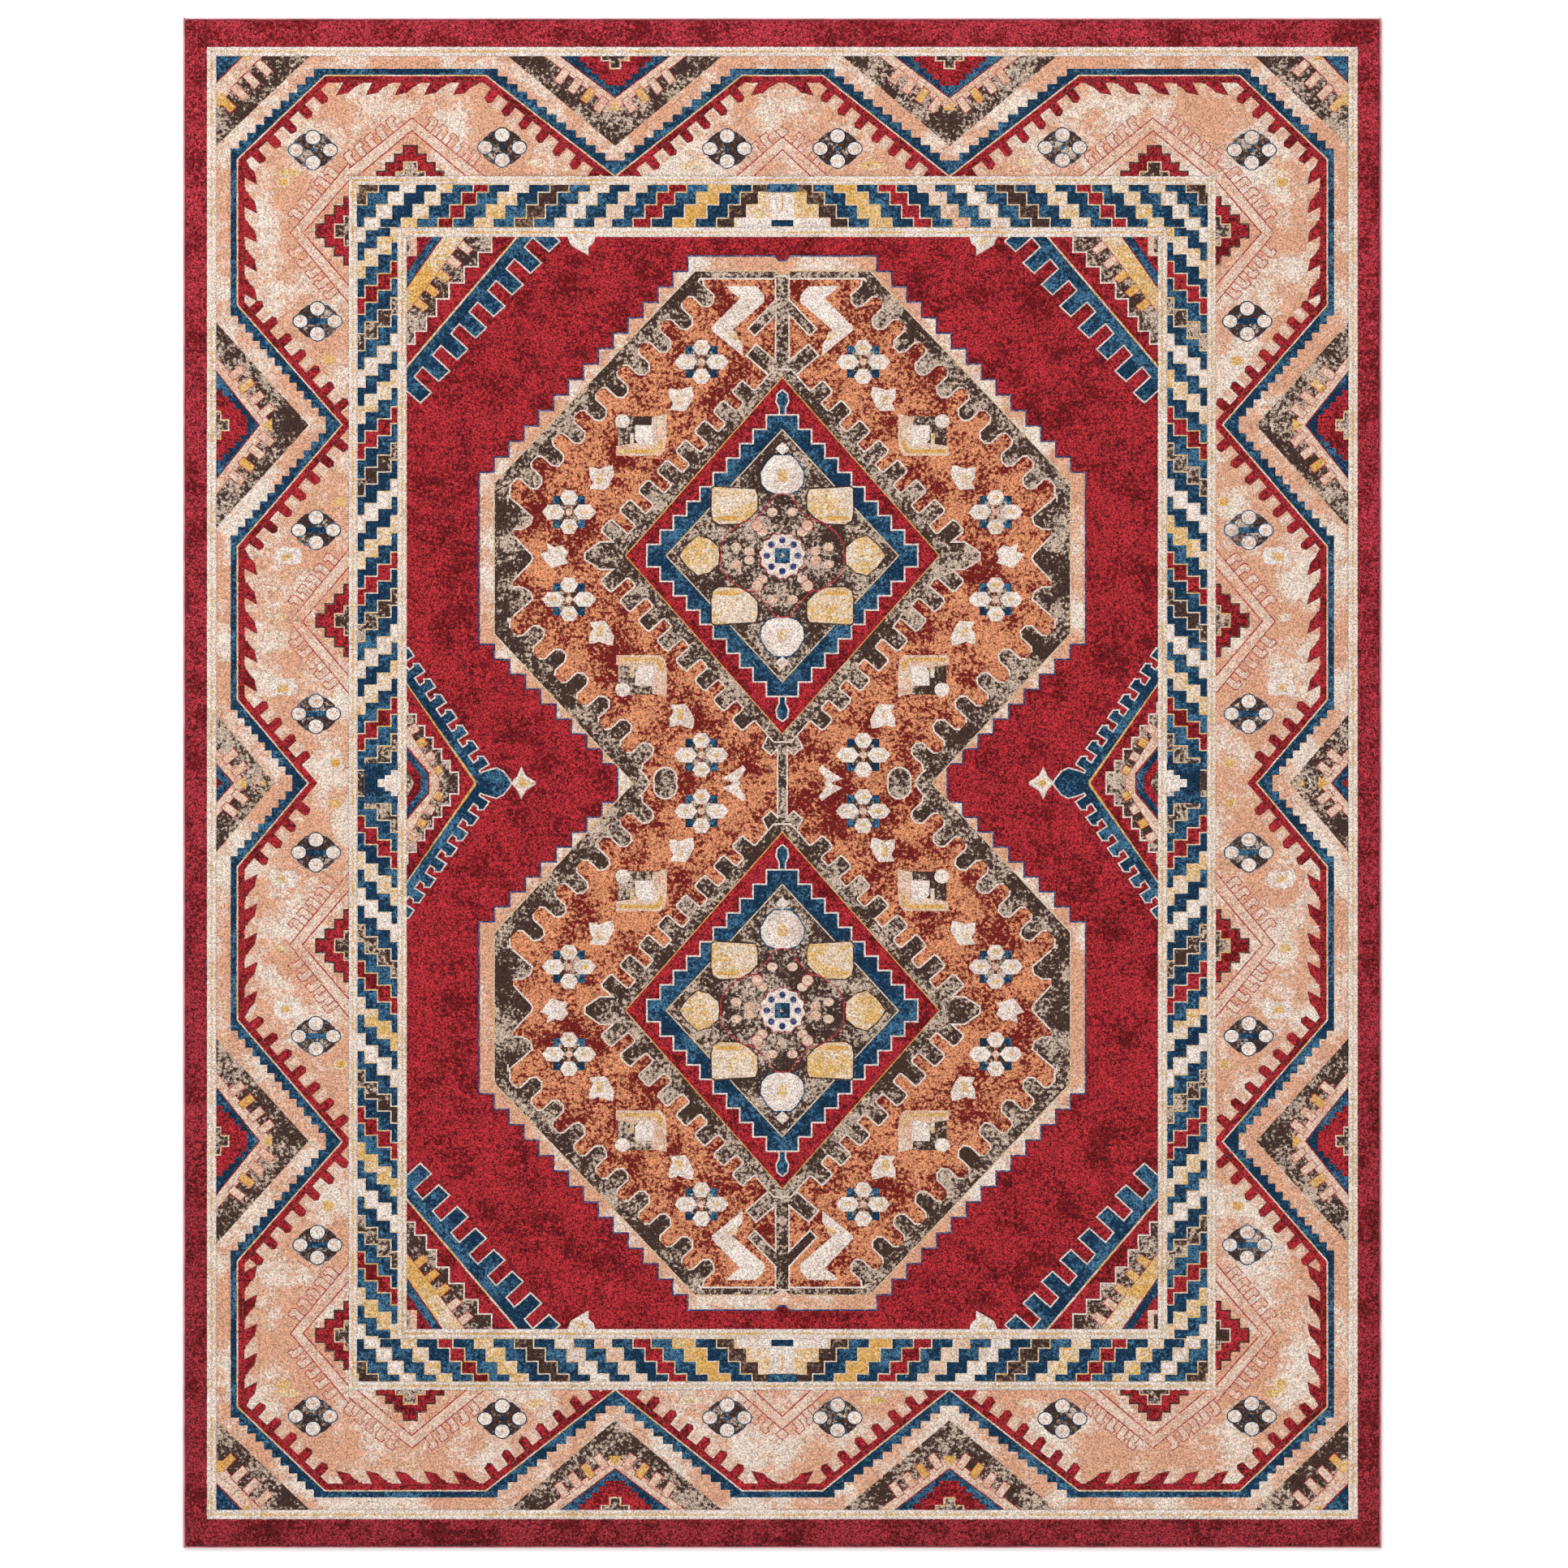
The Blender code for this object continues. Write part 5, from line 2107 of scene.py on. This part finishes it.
@dataclass(frozen=True)
class Serging:
    """The stitched binding along one edge: a loop of yarn, repeated all along it."""

    side: str
    material: bpy.types.Material
    pitch: float = 0.003
    fullness: float = 0.6  # the yarn's half width, in pitches
    flatness: float = 0.6  # the yarn's half thickness, in half widths
    wrap: float = 115.0  # how far the stitch goes round from its middle, in degrees
    lean: float = 0.35
    sections: int = 6
    turns: int = 7

    def build(self) -> bpy.types.Object:
        """Make the edge's row of stitches."""
        low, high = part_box(f"serging_{self.side}")
        along_x = self.side in ("top", "bottom")
        outward = 1.0 if self.side in ("right", "top") else -1.0
        size, middle = high - low, (low + high) / 2
        length, wide = (size.x, size.y) if along_x else (size.y, size.x)
        count = round(length / self.pitch)
        step = length / count
        yarn = step * self.fullness
        across, tall = wide / 2 - yarn * self.flatness, size.z / 2 - yarn * self.flatness
        rings = []
        for turn in range(self.turns + 1):
            angle = math.radians(-self.wrap + 2 * self.wrap * turn / self.turns)
            lean = self.lean * step * math.sin(angle)
            centre = Vector((across * math.cos(angle), lean, tall * math.sin(angle)))
            out = Vector((math.cos(angle), 0, math.sin(angle)))
            side_way = Vector((0, 1, 0))
            rings.append([
                centre + out * (yarn * self.flatness * math.cos(a)) + side_way * (yarn * math.sin(a))
                for a in (math.tau * i / self.sections for i in range(self.sections))
            ])
        points = [point for ring in rings for point in ring]
        n = self.sections
        faces = [
            (r * n + i, r * n + (i + 1) % n, (r + 1) * n + (i + 1) % n, (r + 1) * n + i)
            for r in range(self.turns) for i in range(n)
        ]
        faces += [tuple(range(n))[::-1], tuple(range(self.turns * n, self.turns * n + n))]
        mesh = bpy.data.meshes.new("stitch")
        mesh.from_pydata(points, [], faces)
        piece = bpy.data.objects.new(f"serging_{self.side}_stitches", mesh)
        bpy.context.scene.collection.objects.link(piece)
        deselected()
        bpy.context.view_layer.objects.active = piece
        piece.select_set(True)
        array = piece.modifiers.new("row", "ARRAY")
        array.use_relative_offset = False
        array.use_constant_offset = True
        array.constant_offset_displace = (0, step, 0)
        array.count = count
        bpy.ops.object.modifier_apply(modifier=array.name)
        bpy.ops.object.mode_set(mode="EDIT")
        bpy.ops.mesh.select_all(action="SELECT")
        bpy.ops.mesh.normals_make_consistent(inside=False)
        bpy.ops.object.mode_set(mode="OBJECT")
        bpy.ops.object.shade_smooth()
        first = step / 2 - length / 2
        for vertex in piece.data.vertices:
            x, y, z = vertex.co
            y += first
            place = (y, outward * x) if along_x else (outward * x, y)
            vertex.co = (middle.x + place[0], middle.y + place[1], middle.z + z)
        if (outward > 0) == along_x:
            bpy.ops.object.mode_set(mode="EDIT")
            bpy.ops.mesh.select_all(action="SELECT")
            bpy.ops.mesh.flip_normals()
            bpy.ops.object.mode_set(mode="OBJECT")
        piece.select_set(False)
        return closing(piece, self.material, "serging", f"serging_{self.side}")


@dataclass(frozen=True)
class Studio:
    """The floor, the light and the camera straight above the rug."""

    camera_height: float = 12.0
    frame_width: float = 3.1230
    sensor: float = 36.0
    aim: Point = (0.0033, -0.0018)
    floor_size: float = 60.0
    floor_drop: float = 0.0005
    sky: float = 0.85
    key_power: float = 330.0
    fill_power: float = 120.0

    def floor(self) -> None:
        """The plain floor under the rug."""
        deselected()
        bpy.ops.mesh.primitive_plane_add(
            size=self.floor_size, location=(0, 0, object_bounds()[0][2] - self.floor_drop)
        )
        floor = bpy.context.object
        floor.name = "floor"
        floor.data.materials.append(FloorFinish().material())
        applied(floor)
        floor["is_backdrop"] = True

    def light(self, name: str, place: tuple[float, float, float], size: float, power: float) -> None:
        """A square soft light that faces the rug's middle."""
        lamp = bpy.data.lights.new(name, "AREA")
        lamp.size, lamp.energy = size, power
        holder = bpy.data.objects.new(name, lamp)
        holder.location = place
        holder.rotation_euler = (-Vector(place)).to_track_quat("-Z", "Y").to_euler()
        bpy.context.scene.collection.objects.link(holder)

    def lights(self) -> None:
        """An even sky and two soft lights from above."""
        world = bpy.data.worlds.new("studio")
        world.use_nodes = True
        world.node_tree.nodes["Background"].inputs["Color"].default_value = (1, 1, 1, 1)
        world.node_tree.nodes["Background"].inputs["Strength"].default_value = self.sky
        scene = bpy.context.scene
        scene.world = world
        scene.view_settings.view_transform = "Standard"
        self.light("key_light", (-3.5, 5.0, 6.0), 4.0, self.key_power)
        self.light("fill_light", (4.5, -3.0, 7.0), 5.0, self.fill_power)

    def camera(self) -> None:
        """The camera, looking straight down with the rug's top end up."""
        data = bpy.data.cameras.new("camera")
        data.sensor_width = self.sensor
        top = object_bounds()[1][2]
        data.lens = self.sensor * self.camera_height / self.frame_width
        data.clip_end = 200.0
        holder = bpy.data.objects.new("camera", data)
        holder.location = (*self.aim, top + self.camera_height)
        bpy.context.scene.collection.objects.link(holder)
        bpy.context.scene.camera = holder

    def build(self) -> None:
        """Set the whole studio up."""
        self.floor()
        self.lights()
        self.camera()


@dataclass(frozen=True)
class Rug:
    """The whole rug: the back, the weave, the pile, the cords and the stitched edges."""

    nodes: dict[str, bpy.types.Object]

    def build(self) -> None:
        zones = Zones.of_part()
        cloth = PileMaker(zones.edge_band).cut(RugPattern(zones).draw())
        yarns = [YARN_FINISHES[yarn].material() for yarn in Yarn]
        low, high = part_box("field")
        pieces = Pile(low.z, high.z, zones).build(cloth, yarns)
        pieces.append(BackSize(BACK_FINISH.material()).build())
        binding = BindingFinish().material()
        for side in ("left", "right", "top", "bottom"):
            pieces.append(Serging(side, binding).build())
            cord = self.nodes[f"edge_cord_{side}"]
            cord.data.materials.clear()
            cord.data.materials.append(binding)
            pieces.append(cord)
        weave = GroundWeave(GROUND_FINISH.material()).build()


def main(nodes: dict[str, bpy.types.Object]) -> None:
    """Build the studio and the rug."""
    logging.basicConfig(level=logging.INFO, format="%(name)s: %(message)s")
    Studio().build()
    Rug(nodes).build()


if __name__ == "__main__":
    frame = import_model()
    main(frame["nodes"])
